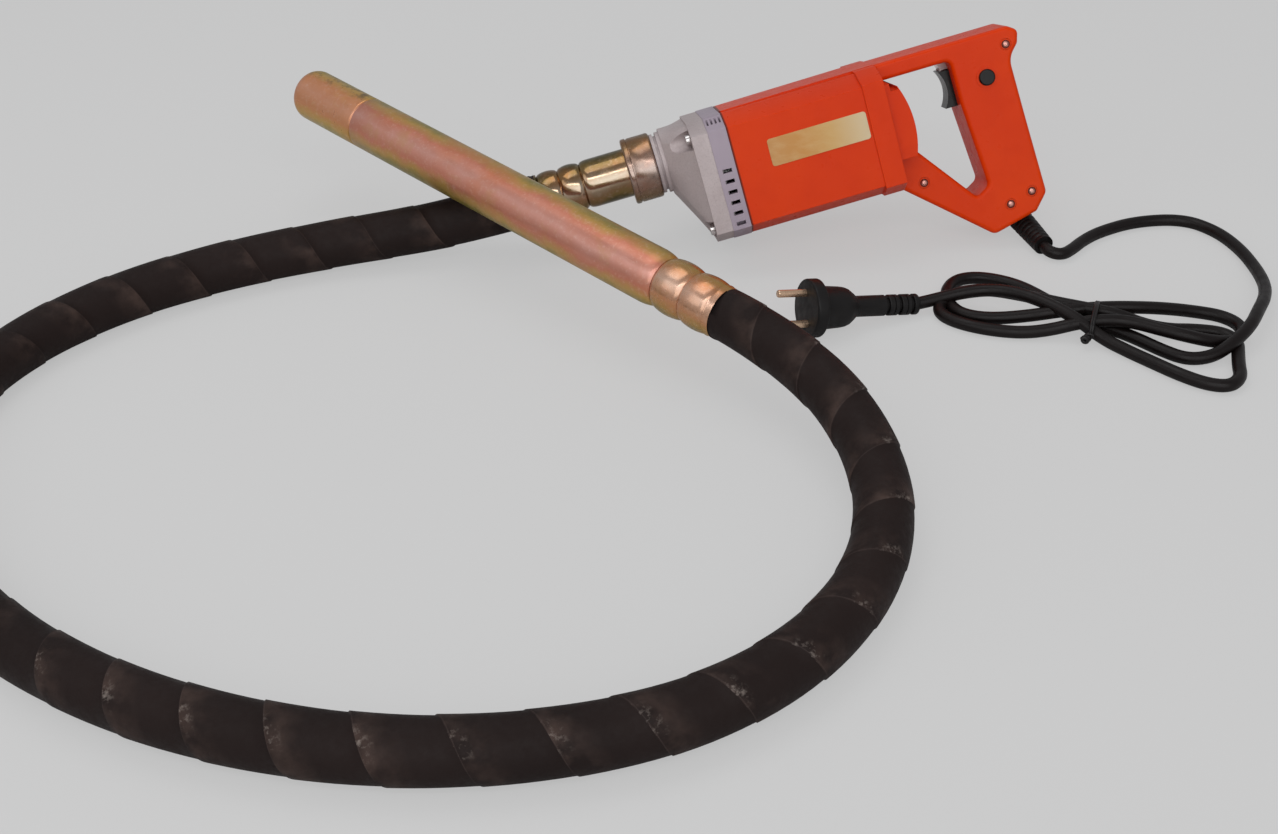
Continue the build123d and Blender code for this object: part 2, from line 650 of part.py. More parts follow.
def handle_outline():
    plane = Plane.XY
    outer = make_face(FilletPolyline(*HANDLE_OUTLINE, radius=HANDLE_OUTLINE_R, close=True))
    opening = make_face(FilletPolyline(*GRIP_OPENING, radius=GRIP_OPENING_R, close=True))
    front = plane * (Pos(HOUSING_LEN + 0.2 - 50, 0) * Rectangle(100, 300))
    return outer - opening - front


def handle_half(side):
    """One moulded half: an open shell with bosses for the screws, -1 for the near half."""
    y0, y1 = sorted((side * SEAM, side * HANDLE_HALF_T))
    outline = handle_outline()
    half = side_plate(outline, y0, y1)
    outer_face = half.faces().sort_by(Axis.Y)[0 if side < 0 else -1]
    half = fillet(outer_face.outer_wire().edges(), HANDLE_EDGE_R)
    inside = offset(outline, -HANDLE_WALL)
    c0, c1 = sorted((side * (SEAM - 1), side * (HANDLE_HALF_T - HANDLE_WALL)))
    half -= side_plate(inside, c0, c1)
    b0, b1 = sorted((side * SEAM, side * (HANDLE_HALF_T - HANDLE_WALL / 2)))
    for x, z in HANDLE_SCREWS:
        post = Pos(x, (b0 + b1) / 2, z) * Rot(90, 0, 0) * Cylinder(HANDLE_BOSS_R, b1 - b0)
        half += post & side_plate(outline, b0, b1)
    for x, z in HANDLE_SCREWS:
        half -= Pos(x, 0, z) * Rot(90, 0, 0) * Cylinder(HANDLE_SCREW_R + 0.1, 2 * HANDLE_HALF_T - 8)
        if side < 0:
            half -= Pos(x, -HANDLE_HALF_T, z) * Rot(90, 0, 0) * Cylinder(HANDLE_SCREW_HEAD_R + 0.4, 5.0)
            half -= Pos(x, -HANDLE_HALF_T, z) * Rot(90, 0, 0) * Cylinder(HANDLE_SCREW_R + 0.1, 20)
    s0, s1 = sorted((side * SWITCH_HALF_T, side * (HANDLE_HALF_T - HANDLE_WALL / 2)))
    half += block(SWITCH_X[0] + 2, SWITCH_X[1] - 2, s0, s1, SWITCH_Z[0] + 2, SWITCH_Z[0] + 5)
    slot = TRIGGER_HALF_T + PLAY
    half -= block(TRIGGER_X[0] - 2, SWITCH_X[0] - 4, -slot, slot, TRIGGER_Z[0] - PLAY, TRIGGER_Z[1] + PLAY)
    if side < 0:
        x, z = LOCK_AT
        half += Pos(x, -HANDLE_HALF_T, z) * Rot(90, 0, 0) * Cylinder(LOCK_R + 1.6, 1.2)
        half -= Pos(x, -HANDLE_HALF_T, z) * Rot(90, 0, 0) * Cylinder(LOCK_R + RUN, 16)
    half -= entry_tool(GUARD_R + 0.2, -3, 14)
    half -= entry_tool(GUARD_FLANGE_R + 0.2, 4.0, 8.0)
    return one(half)


def entry_tool(radius, start, end):
    """A cylinder along the cord entry's axis, its depths measured inwards from the toe's face."""
    x, z = ENTRY_AT
    tilt = radians(ENTRY_TILT)
    inward = Vector(-sin(tilt), 0, cos(tilt))
    plane = Plane(origin=Vector(x, 0, z) + inward * start, z_dir=inward)
    return extrude(plane * Circle(radius), end - start)


def handle_screws():
    screws = []
    for x, z in HANDLE_SCREWS:
        head = Pos(x, -HANDLE_HALF_T + 1.3, z) * Rot(90, 0, 0) * Cylinder(HANDLE_SCREW_HEAD_R, 2.4)
        shank = Pos(x, -3.5, z) * Rot(90, 0, 0) * Cylinder(HANDLE_SCREW_R, 29.0)
        screw = head + shank
        screw -= Pos(x, -HANDLE_HALF_T, z) * Rot(90, 0, 0) * Box(4.0, 0.9, 2.0)
        screw -= Pos(x, -HANDLE_HALF_T, z) * Rot(90, 0, 0) * Box(0.9, 4.0, 2.0)
        screws.append(one(screw))
    return screws


def trigger():
    x0, x1 = TRIGGER_X
    z0, z1 = TRIGGER_Z
    front = ThreePointArc((x0, z1), (x0 + 3.6, (z0 + z1) / 2 + 1), (x0, z0))
    rest = Polyline((x0, z0), (x1 - 2, z0), (x1, z0 + 3), (x1, z1 - 3), (x1 - 2, z1), (x0, z1))
    body = side_plate(make_face(front + rest), -TRIGGER_HALF_T, TRIGGER_HALF_T)
    plunger = rod(PLUNGER_R, x1 - 1, SWITCH_X[0] + 3, 0, PLUNGER_Z)
    return one(body + plunger)



def lock_button():
    x, z = LOCK_AT
    outer = -HANDLE_HALF_T - LOCK_PROUD
    inner = -SWITCH_HALF_T - LOCK_TRAVEL - 0.4
    cap = Pos(x, (outer + inner) / 2, z) * Rot(90, 0, 0) * Cylinder(LOCK_R, inner - outer)
    rim = cap.edges().filter_by(GeomType.CIRCLE).sort_by(Axis.Y)[0]
    cap = fillet(rim, 1.0)
    stem = Pos(x, inner + 3, z) * Rot(90, 0, 0) * Cylinder(LOCK_STEM_R, 6.5)
    return one(cap + stem)


def switch_body():
    x0, x1 = SWITCH_X
    z0, z1 = SWITCH_Z
    case = block(x0, x1, -SWITCH_HALF_T, SWITCH_HALF_T, z0, z1)
    case -= rod(PLUNGER_R + RUN, x0 - 1, x0 + 3 + TRIGGER_TRAVEL + 1, 0, PLUNGER_Z)
    x, z = LOCK_AT
    case -= Pos(x, -SWITCH_HALF_T + 4, z) * Rot(90, 0, 0) * Cylinder(LOCK_STEM_R + RUN, 9)
    return one(case)


def capacitor():
    """The suppression capacitor in the grip, below the switch."""
    can = Pos(177, 0, -37) * Rot(0, 4, 0) * Cylinder(8, 26)
    return one(can)


def cord_clamp():
    """A bar across the cord inside the toe, with its two screws."""
    x, z = ENTRY_AT
    bar = block(x - 14, x - 9.5, -13, 13, z + 16, z + 22)
    return one(bar)


def lead_wires():
    """Two leads from the switch down the grip to the cord."""
    wires = []
    for side in (-1, 1):
        path = FilletPolyline((181, side * 6, SWITCH_Z[0]), (181, side * 6, -19), (187, side * 11, -30),
                              (187, side * 11, -46), (182, side * 4, -62), radius=4)
        wires.append(tube_along(path, 1.2).solid())
    return wires


# ---------------------------------------------------------------- poker head

TUBE_FROM = HEAD_FERRULE_LEN
TUBE_TO = HEAD_LEN - TIP_LEN


def head_ferrule():
    """The neck: two rolled grooves, and a threaded spigot inside the tube."""
    near, far = HEAD_GROOVES
    outline = [(0, FERRULE_BORE_R)]
    outline += barrel(0, near, HOSE_R, HEAD_GROOVE_R, 1.8)
    outline += barrel(near, far, HEAD_GROOVE_R, HEAD_GROOVE_R + 0.6, 1.9)[1:]
    outline += barrel(far, HEAD_FERRULE_LEN - 0.2, HEAD_GROOVE_R + 0.6, HEAD_R - 0.1, 0.4)[1:]
    outline += [(HEAD_FERRULE_LEN, HEAD_R - 0.3),
                (HEAD_FERRULE_LEN, THREAD_R), (HEAD_FERRULE_LEN + THREAD_LEN, THREAD_R),
                (HEAD_FERRULE_LEN + THREAD_LEN, 11.0), (HEAD_FERRULE_LEN - 6, 11.0),
                (HEAD_FERRULE_LEN - 8, FERRULE_BORE_R)]
    return one(lathe(outline))


def head_tube():
    tube = ring(HEAD_R, TUBE_BORE_R, TUBE_FROM, TUBE_TO)
    tube -= rod(THREAD_R, TUBE_FROM - 1, TUBE_FROM + THREAD_LEN + 0.3)
    tube -= rod(THREAD_R, TUBE_TO - THREAD_LEN - 0.3, TUBE_TO + 1)
    return one(tube)


def tip_cap():
    """The hardened nose with its spigot and the race that the pendulum rolls in."""
    nose = HEAD_LEN
    curve = [(nose - TIP_NOSE_R + TIP_NOSE_R * sin(radians(a)), HEAD_R - TIP_NOSE_R + TIP_NOSE_R * cos(radians(a)))
             for a in range(0, 91, 10)]
    outline = [(TUBE_TO - THREAD_LEN, RACE_R), (TUBE_TO - THREAD_LEN, THREAD_R), (TUBE_TO, THREAD_R),
               (TUBE_TO, HEAD_R - 0.5), (TUBE_TO + 0.5, HEAD_R)]
    outline += curve
    outline += [(nose, 0), (ROLLER_AT + ROLLER_LEN, 0), (ROLLER_AT + ROLLER_LEN, RACE_R)]
    return one(lathe(outline))


def drive_stub():
    """The poker's input shaft: square socket, two bearing seats and a cup for the ball joint."""
    x0 = HEAD_FERRULE_LEN + 2
    cup = BALL_R + 3.5
    shaft = rod(STUB_R, x0, BALL_AT - 6)
    shaft += rod(STUB_R + 2, x0 - 6, STUB_BEARINGS[0] - PLAY)
    shaft += rod(cup, BALL_AT - 12, BALL_AT - 1.2)
    shaft -= Pos(BALL_AT, 0, 0) * Sphere(BALL_R + RUN)
    side = SOCKET_HALF
    shaft -= block(x0 - 7, x0 + 4, -side, side, -side, side)
    return one(shaft)


def core_head_end():
    side = SOCKET_HALF - 0.05
    x0 = HEAD_FERRULE_LEN - 4
    dog = block(x0 - 6, x0 + 7, -side, side, -side, side)
    return one(dog + rod(CORE_CABLE_R + 1.5, x0 - 18, x0 - 5))



def head_bearings():
    return [bearing(HEAD_BEARING, STUB_R + RUN, x) for x in STUB_BEARINGS]


def bearing_spacer():
    return one(ring(HEAD_BEARING[0] / 2, HEAD_BEARING[0] / 2 - 2, STUB_BEARINGS[0] + HEAD_BEARING[1],
                    STUB_BEARINGS[1]))


def oil_seal():
    x0 = STUB_BEARINGS[1] + HEAD_BEARING[1]
    return one(ring(HEAD_BEARING[0] / 2, STUB_R + RUN, x0, x0 + 3.0))


def joint_ball():
    return (Pos(BALL_AT, 0, 0) * Sphere(BALL_R)).solid()


PENDULUM_TILT = degrees((RACE_R - ROLLER_R - RUN) / (ROLLER_AT + ROLLER_LEN / 2 - BALL_AT))


def pendulum():
    """The rolling pendulum: a cup on the ball, a heavy waist and the roller that runs in the race."""
    end = ROLLER_AT + ROLLER_LEN - BALL_AT - 1.0
    cup = BALL_R + RUN
    outline = [(cup * cos(radians(a)), cup * sin(radians(a))) for a in range(0, 76, 5)]
    outline += [(cup * cos(radians(75)), BALL_R + 3.0), (9, BALL_R + 3.0), (14, 5.5), (70, 5.5),
                (78, ROLLER_R - 0.6), (ROLLER_AT - BALL_AT - 4, ROLLER_R - 0.6),
                (ROLLER_AT - BALL_AT - 2, ROLLER_R - 0.15), (end - 2, ROLLER_R - 0.15), (end, ROLLER_R - 2),
                (end, 0)]
    body = lathe(outline)
    return Pos(BALL_AT, 0, 0) * Rot(0, PENDULUM_TILT, 0) * one(body)


# ---------------------------------------------------------------- placing


def frame_at(origin, x_dir, up):
    return Plane(origin=Vector(*origin), x_dir=x_dir, z_dir=up)


def drive_frame():
    pitch = radians(DRIVE_PITCH)
    lean = radians(DRIVE_LEAN)
    aft = Vector(cos(pitch), 0, sin(pitch))
    up = Vector(-sin(pitch), 0, cos(pitch)) * cos(lean) + Vector(0, 1, 0) * sin(lean)
    return frame_at(DRIVE_AT, aft, up)


def head_axis():
    return (Vector(*HEAD_TOWARD) - Vector(*HEAD_FROM)).normalized()


def upright_to(direction):
    """The direction square to the given one that comes nearest to straight up."""
    up = Vector(0, 0, 1)
    return (up - direction * up.dot(direction)).normalized()


def head_frame():
    axis = head_axis()
    return frame_at(HEAD_FROM, axis, upright_to(axis))


def drive_point(x, y, z):
    return drive_frame().from_local_coords(Vector(x, y, z))


# ---------------------------------------------------------------- hose and cord


def route_radii(points, share=0.45):
    """The largest arc each corner takes: a share of its shorter run over the tangent of half its turn."""
    radii = []
    for a, b, c in zip(points, points[1:], points[2:]):
        turn = radians((b - a).get_angle(c - b))
        radii.append(share * min((b - a).length, (c - b).length) / tan(turn / 2))
    return radii


def hose_points():
    start = drive_point(FERRULE_END, 0, AXIS_RISE)
    lead = drive_point(FERRULE_END - HOSE_LEAD, 0, AXIS_RISE)
    end = Vector(*HEAD_FROM)
    lead_in = end - head_axis() * HOSE_LEAD
    return [start, lead] + [Vector(*p) for p in HOSE_ROUTE] + [lead_in, end]


def routed(points, name, diameter):
    radii = route_radii(points)
    path = FilletPolyline(*points, radius=radii)
    print(name, "length", round(path.length), "radii", [round(r) for r in radii], "diameter", diameter)
    return path


def hose_parts():
    path = routed(hose_points(), "hose", 2 * HOSE_R)
    rubber = tube_along(path, HOSE_R) - tube_along(path, HOSE_BORE_R)
    liner = tube_along(path, HOSE_BORE_R - 0.1) - tube_along(path, LINER_BORE_R)
    cable = tube_along(path, CORE_CABLE_R)
    print("hose volume ratio", rubber.volume / (pi * (HOSE_R**2 - HOSE_BORE_R**2) * path.length))
    return one(rubber), one(liner), one(cable)


def guard_points():
    x, z = ENTRY_AT
    tilt = radians(ENTRY_TILT)
    inner = drive_point(x - 8 * sin(tilt), 0, z + 8 * cos(tilt))
    knee = drive_point(x + GUARD_DROP * sin(tilt), 0, z - GUARD_DROP * cos(tilt))
    return [inner, knee] + [Vector(*p) for p in GUARD_ROUTE]


def cord_guard():
    points = guard_points()
    path = FilletPolyline(*points, radius=GUARD_BEND_R)
    guard = tube_along(path, GUARD_R)
    x, z = ENTRY_AT
    flange = drive_frame().location * entry_tool(GUARD_FLANGE_R, 4.2, 7.8)
    return one(guard + flange)


def power_cord():
    points = [Vector(*GUARD_ROUTE[-1])] + [Vector(*p) for p in CORD_ROUTE]
    path = routed(points, "cord", 2 * CORD_R)
    cord = tube_along(path, CORD_R)
    print("cord volume ratio", cord.volume / (pi * CORD_R**2 * path.length))
    return one(cord - cord_hank())


def tie_frame(grow_w, grow_h):
    z0, z1 = HANK_Z
    box = Box(TIE_W, 24.0 + grow_w, z1 - z0 + grow_h)
    return Pos(TIE_AT[0], TIE_AT[1], (z0 + z1) / 2) * Rot(0, 0, TIE_TURN) * box


def cord_hank():
    z0, z1 = HANK_Z
    body = extrude(make_face(Polyline(*HANK_RIGHT, close=True)), z1 - z0)
    body += extrude(make_face(Polyline(*HANK_LEFT, close=True)), z1 - z0)
    body = Pos(0, 0, z0) * body
    return one(body - (tie_frame(12, 4) - tie_frame(-1.6, -1.6)))


def cord_tie():
    return one(tie_frame(3.0, 0) - tie_frame(-1.0, -1.0))


def plug_frame():
    face = Vector(*PLUG_FACE)
    axis = (face - Vector(*PLUG_TAIL)).normalized()
    up = upright_to(axis).rotate(Axis((0, 0, 0), axis), PIN_LEAN)
    return frame_at(PLUG_TAIL, axis, up)


PLUG_LEN = (Vector(*PLUG_FACE) - Vector(*PLUG_TAIL)).length


def plug_body():
    """A moulded two-pin plug: round face, tapering body and a ribbed sleeve over the cord."""
    face = PLUG_LEN
    outline = [(0, 0), (0, SLEEVE_R - 0.5)]
    for x in SLEEVE_GROOVES:
        outline += [(x, SLEEVE_R - 0.4), (x, SLEEVE_R - SLEEVE_GROOVE_DEPTH),
                    (x + SLEEVE_GROOVE_W, SLEEVE_R - SLEEVE_GROOVE_DEPTH), (x + SLEEVE_GROOVE_W, SLEEVE_R - 0.4)]
    outline += [(face - 33.3, SLEEVE_R), (face - 24.7, 12.4), (face - PLUG_RIM, 13.7), (face - PLUG_RIM, PLUG_R - 0.6),
                (face - PLUG_RIM + 0.6, PLUG_R), (face - 0.6, PLUG_R), (face, PLUG_R - 0.6), (face, 0)]
    body = lathe(outline)
    for side in (-1, 1):
        notch = Pos(face - PLUG_RIM / 2, side * (PLUG_R + 1), 0) * Rot(0, 90, 0) * Cylinder(3.4, PLUG_RIM + 1)
        body -= notch
        body -= rod(PIN_TAIL_R, face - 8, face + 1, 0, side * PIN_GAP / 2)
    return plug_frame().location * one(body)


def plug_pins():
    face = PLUG_LEN
    pins = []
    for side in (-1, 1):
        pin = rod(PIN_R, face, face + PIN_LEN, 0, side * PIN_GAP / 2)
        tip = pin.edges().filter_by(GeomType.CIRCLE).group_by(Axis.X)[-1]
        tail = rod(PIN_TAIL_R, face - 8, face + 1, 0, side * PIN_GAP / 2)
        pins.append((plug_frame().location * (fillet(tip, 1.2) + tail)).solid())
    return pins


def plug_cord():
    tail = Vector(*PLUG_TAIL)
    axis = (Vector(*PLUG_FACE) - tail).normalized()
    path = Line(tail - axis * PLUG_CORD_LEN, tail)
    return one(tube_along(path, CORD_R) - cord_hank())


# ---------------------------------------------------------------- assembly


def drive_nodes():
    holders, carbons, springs = brush_gear()
    z = AXIS_RISE
    return {
        "gear_case": gear_case(),
        "gear_case_screws": gear_case_screws(),
        "vent_ring": vent_ring(),
        "bearing_plate": bearing_plate(),
        "spindle": spindle(),
        "spindle_gear": spindle_gear(),
        "spindle_front_bearing": bearing(FRONT_BEARING, SPINDLE_R + RUN, FRONT_BEARING_FRONT, z),
        "spindle_rear_bearing": bearing(REAR_BEARING, SPINDLE_TAIL_R + RUN, FLANGE_BACK, z),
        "coupling_nut": coupling_nut(),
        "drive_ferrule": drive_ferrule(),
        "core_drive_end": core_drive_end(),
        "motor_pinion": motor_pinion(),
        "armature_shaft": armature_shaft(),
        "armature_core": armature_core(),
        "armature_windings": armature_windings(),
        "commutator": commutator(),
        "fan": fan(),
        "armature_front_bearing": bearing(MOTOR_BEARING, SHAFT_R + RUN, FLANGE_BACK + 1),
        "armature_rear_bearing": bearing(TAIL_BEARING, SHAFT_R - 1 + RUN, SHAFT_REAR - TAIL_BEARING[1]),
        "stator_core": stator_core(),
        "field_coils": field_coils(),
        "motor_housing": motor_housing(),
        "rating_plate": rating_plate(),
        "brush_holders": holders,
        "carbon_brushes": carbons,
        "brush_springs": springs,
        "handle_left": handle_half(-1),
        "handle_right": handle_half(1),
        "handle_screws": handle_screws(),
        "trigger": trigger(),
        "lock_button": lock_button(),
        "switch_body": switch_body(),
        "capacitor": capacitor(),
        "cord_clamp": cord_clamp(),
        "lead_wires": lead_wires(),
    }


def head_nodes():
    return {
        "head_ferrule": head_ferrule(),
        "head_tube": head_tube(),
        "tip_cap": tip_cap(),
        "core_head_end": core_head_end(),
        "drive_stub": drive_stub(),
        "head_bearings": head_bearings(),
        "bearing_spacer": bearing_spacer(),
        "oil_seal": oil_seal(),
        "joint_ball": joint_ball(),
        "pendulum": pendulum(),
    }


def cord_nodes():
    rubber, liner, cable = hose_parts()
    return {
        "hose": rubber,
        "hose_liner": liner,
        "flexible_core": cable,
        "cord_guard": cord_guard(),
        "power_cord": power_cord(),
        "cord_hank": cord_hank(),
        "cord_tie": cord_tie(),
        "plug_cord": plug_cord(),
        "plug_body": plug_body(),
        "plug_pins": plug_pins(),
    }


def solids_of(shape):
    return list(shape) if isinstance(shape, list) else [shape]


def write(nodes, location):
    for name, shape in nodes.items():
        solids = [solid.moved(location) for solid in solids_of(shape)]
        whole = solids[0] if len(solids) == 1 else Compound(children=solids)
        export_step(whole, f"parts/{name}.step")


os.makedirs("parts", exist_ok=True)
centring = Location(CENTRING)
write(drive_nodes(), centring * drive_frame().location)
write(head_nodes(), centring * head_frame().location)
write(cord_nodes(), centring)
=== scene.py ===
"""A hand-held concrete vibrator: orange drive unit, tape-wrapped hose and zinc-plated poker head."""

import json
import math

import bmesh
import bpy
import numpy as np
from mathutils import Matrix, Vector


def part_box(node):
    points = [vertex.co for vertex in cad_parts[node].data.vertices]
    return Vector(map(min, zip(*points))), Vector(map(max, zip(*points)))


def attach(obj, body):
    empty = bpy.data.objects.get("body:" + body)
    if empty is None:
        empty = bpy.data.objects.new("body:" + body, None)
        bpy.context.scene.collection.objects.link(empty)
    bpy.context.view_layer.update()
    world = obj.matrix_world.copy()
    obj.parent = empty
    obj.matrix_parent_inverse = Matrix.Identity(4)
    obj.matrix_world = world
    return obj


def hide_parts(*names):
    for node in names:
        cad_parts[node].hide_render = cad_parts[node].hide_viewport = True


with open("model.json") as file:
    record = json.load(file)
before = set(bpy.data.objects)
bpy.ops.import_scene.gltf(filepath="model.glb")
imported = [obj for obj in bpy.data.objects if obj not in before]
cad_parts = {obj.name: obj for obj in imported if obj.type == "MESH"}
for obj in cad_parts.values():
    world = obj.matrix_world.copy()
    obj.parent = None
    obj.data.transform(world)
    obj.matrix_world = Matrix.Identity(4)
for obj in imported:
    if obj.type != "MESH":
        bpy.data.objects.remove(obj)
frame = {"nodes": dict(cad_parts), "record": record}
cad = frame["nodes"]
body_of = {node: body for body, members in frame["record"]["behaviour"]["bodies"].items() for node in members}
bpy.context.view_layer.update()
scene = bpy.context.scene
scene.view_settings.view_transform = "Standard"

# Camera: a fixed stand in front of the tool, above the floor and looking down on it.
camera_data = bpy.data.cameras.new("camera")
camera_data.sensor_width = 36
camera_data.lens = 47.89
camera = bpy.data.objects.new("camera", camera_data)
camera_right = Vector((0.98975, -0.14134, -0.02051))
camera_back = Vector((-0.10560, -0.82090, 0.56122))
camera_turn = Matrix((camera_right, camera_back.cross(camera_right), camera_back)).transposed()
camera.matrix_world = Matrix.Translation((-0.1552, -0.9841, 0.5513)) @ camera_turn.to_4x4()
scene.collection.objects.link(camera)
scene.camera = camera

# Hose: a steel-braided rubber hose wrapped in rubber tape. Each turn of tape laps the last one,
# so a low step winds along it. It is crimped into the drive ferrule at one end and the head at the other.
centring = Vector((-1.8, -7.8, 0.3))
hose_route = [(-85.4, 40.6, 38.8), (-119.5, 40.6, 31.0), (-165, 43, 22), (-228, 42, 17), (-298, 26, 15.9),
              (-364, -6, 15.9), (-417, -56, 15.9), (-446, -122, 15.9), (-446, -195, 15.9), (-423, -264, 15.9),
              (-382, -324, 15.9), (-328, -373, 15.9), (-266, -410, 15.9), (-197, -434, 15.9),
              (-125, -441, 15.9), (-58, -431, 15.9), (1, -399, 15.9), (45, -347, 15.9), (65, -286, 21),
              (57, -222, 34), (27.4, -169.7, 44.3), (5.6, -142.4, 47)]
hose_radius = 0.0156
tape_pitch = 0.0405
heading_reach = 0.003


def linked(name, data):
    made = bpy.data.objects.new(name, data)
    scene.collection.objects.link(made)
    return made


def route_curve(name, points, radius=0.0):
    """One open spline with the route's points as its control points, given in millimetres."""
    curve = bpy.data.curves.new(name, "CURVE")
    curve.dimensions = "3D"
    curve.resolution_u = 12
    spline = curve.splines.new("NURBS")
    spline.points.add(len(points) - 1)
    for point, place in zip(spline.points, points):
        point.co = (*((Vector(place) + centring) / 1000), 1)
    spline.order_u = 3
    spline.use_endpoint_u = True
    curve.bevel_depth = radius
    curve.bevel_resolution = 7
    curve.use_fill_caps = radius > 0
    return linked(name, curve)


def line_of(route):
    """The curve's own line as points, with how far along each one is."""
    mesh = bpy.data.meshes.new_from_object(route)
    points = np.array([vertex.co for vertex in mesh.vertices])
    along = np.concatenate([[0], np.cumsum(np.linalg.norm(np.diff(points, axis=0), axis=1))])
    bpy.data.meshes.remove(mesh)
    return points, along


def place_on(points, along, at):
    """The point and the direction of the line at each distance."""
    at = np.clip(at, 0, along[-1])
    spot = np.stack([np.interp(at, along, points[:, k]) for k in range(3)], axis=-1)
    after = np.minimum(at + heading_reach, along[-1])
    before = np.maximum(at - heading_reach, 0)
    heading = np.stack([np.interp(after, along, points[:, k]) - np.interp(before, along, points[:, k])
                        for k in range(3)], axis=-1)
    return spot, heading / np.linalg.norm(heading, axis=-1, keepdims=True)


def weld(mesh, distance=2e-6, sharp=32):
    """Merges doubles, closes open ends, turns faces outwards and shades the curved ones smooth."""
    work = bmesh.new()
    work.from_mesh(mesh)
    bmesh.ops.remove_doubles(work, verts=work.verts, dist=distance)
    bmesh.ops.dissolve_degenerate(work, edges=work.edges, dist=distance)
    bmesh.ops.holes_fill(work, edges=[edge for edge in work.edges if edge.is_boundary], sides=0)
    bmesh.ops.recalc_face_normals(work, faces=work.faces)
    for face in work.faces:
        face.smooth = True
    for edge in work.edges:
        edge.smooth = not (edge.is_manifold and edge.calc_face_angle(0) > math.radians(sharp))
    work.to_mesh(mesh)
    work.free()
    return mesh


def wound_tube(name, points, along, radius, pitch, rows, sides):
    """A closed tube whose rows of faces run round it on the tape's own slant.

    Each of the rows has its share of a turn and its height above the tape, in metres.
    """
    turns = int(along[-1] / pitch) + 2
    share = np.array([row[0] for row in rows])
    height = np.array([row[1] for row in rows])
    starts = (np.arange(-1, turns)[:, None] + share[None, :]).ravel()
    unevenness = np.random.default_rng(4).uniform(0.75, 1.25, turns + 1)
    lift = np.tile(height, turns + 1) * np.repeat(unevenness, len(rows))
    turn = np.arange(sides) / sides
    at = (starts[:, None] + turn[None, :]) * pitch
    spot, heading = place_on(points, along, at)
    side = np.cross(heading, (0, 0, 1))
    side /= np.linalg.norm(side, axis=-1, keepdims=True)
    up = np.cross(side, heading)
    angle = turn * 2 * math.pi
    reach = radius + lift[:, None] * np.ones(sides)
    outward = up * np.cos(angle)[None, :, None] + side * np.sin(angle)[None, :, None]
    place = spot + reach[..., None] * outward
    total, lap = len(starts), len(rows)
    faces, uvs = [], []
    for i in range(total - lap - 1):
        for j in range(sides):
            last = j == sides - 1
            over = (i + lap) * sides if last else i * sides + j + 1
            over_next = (i + 1 + lap) * sides if last else (i + 1) * sides + j + 1
            faces.append((i * sides + j, over, over_next, (i + 1) * sides + j))
            first, second = starts[i] + j / sides, starts[i + 1] + j / sides
            uvs += [(first, j / sides), (first + 1 / sides, (j + 1) / sides),
                    (second + 1 / sides, (j + 1) / sides), (second, j / sides)]
    mesh = bpy.data.meshes.new(name)
    mesh.from_pydata(place.reshape(-1, 3).tolist(), [], faces)
    layer = mesh.uv_layers.new(name="wrap")
    layer.data.foreach_set("uv", np.array(uvs, np.float32).ravel())
    return linked(name, weld(mesh, 1e-6, 60))


def rgb(red, green, blue):
    """A colour as a screen shows it, made linear for a shader."""
    linear = (((c / 255 + 0.055) / 1.055) ** 2.4 if c > 10 else c / 3294.6 for c in (red, green, blue))
    return (*linear, 1)


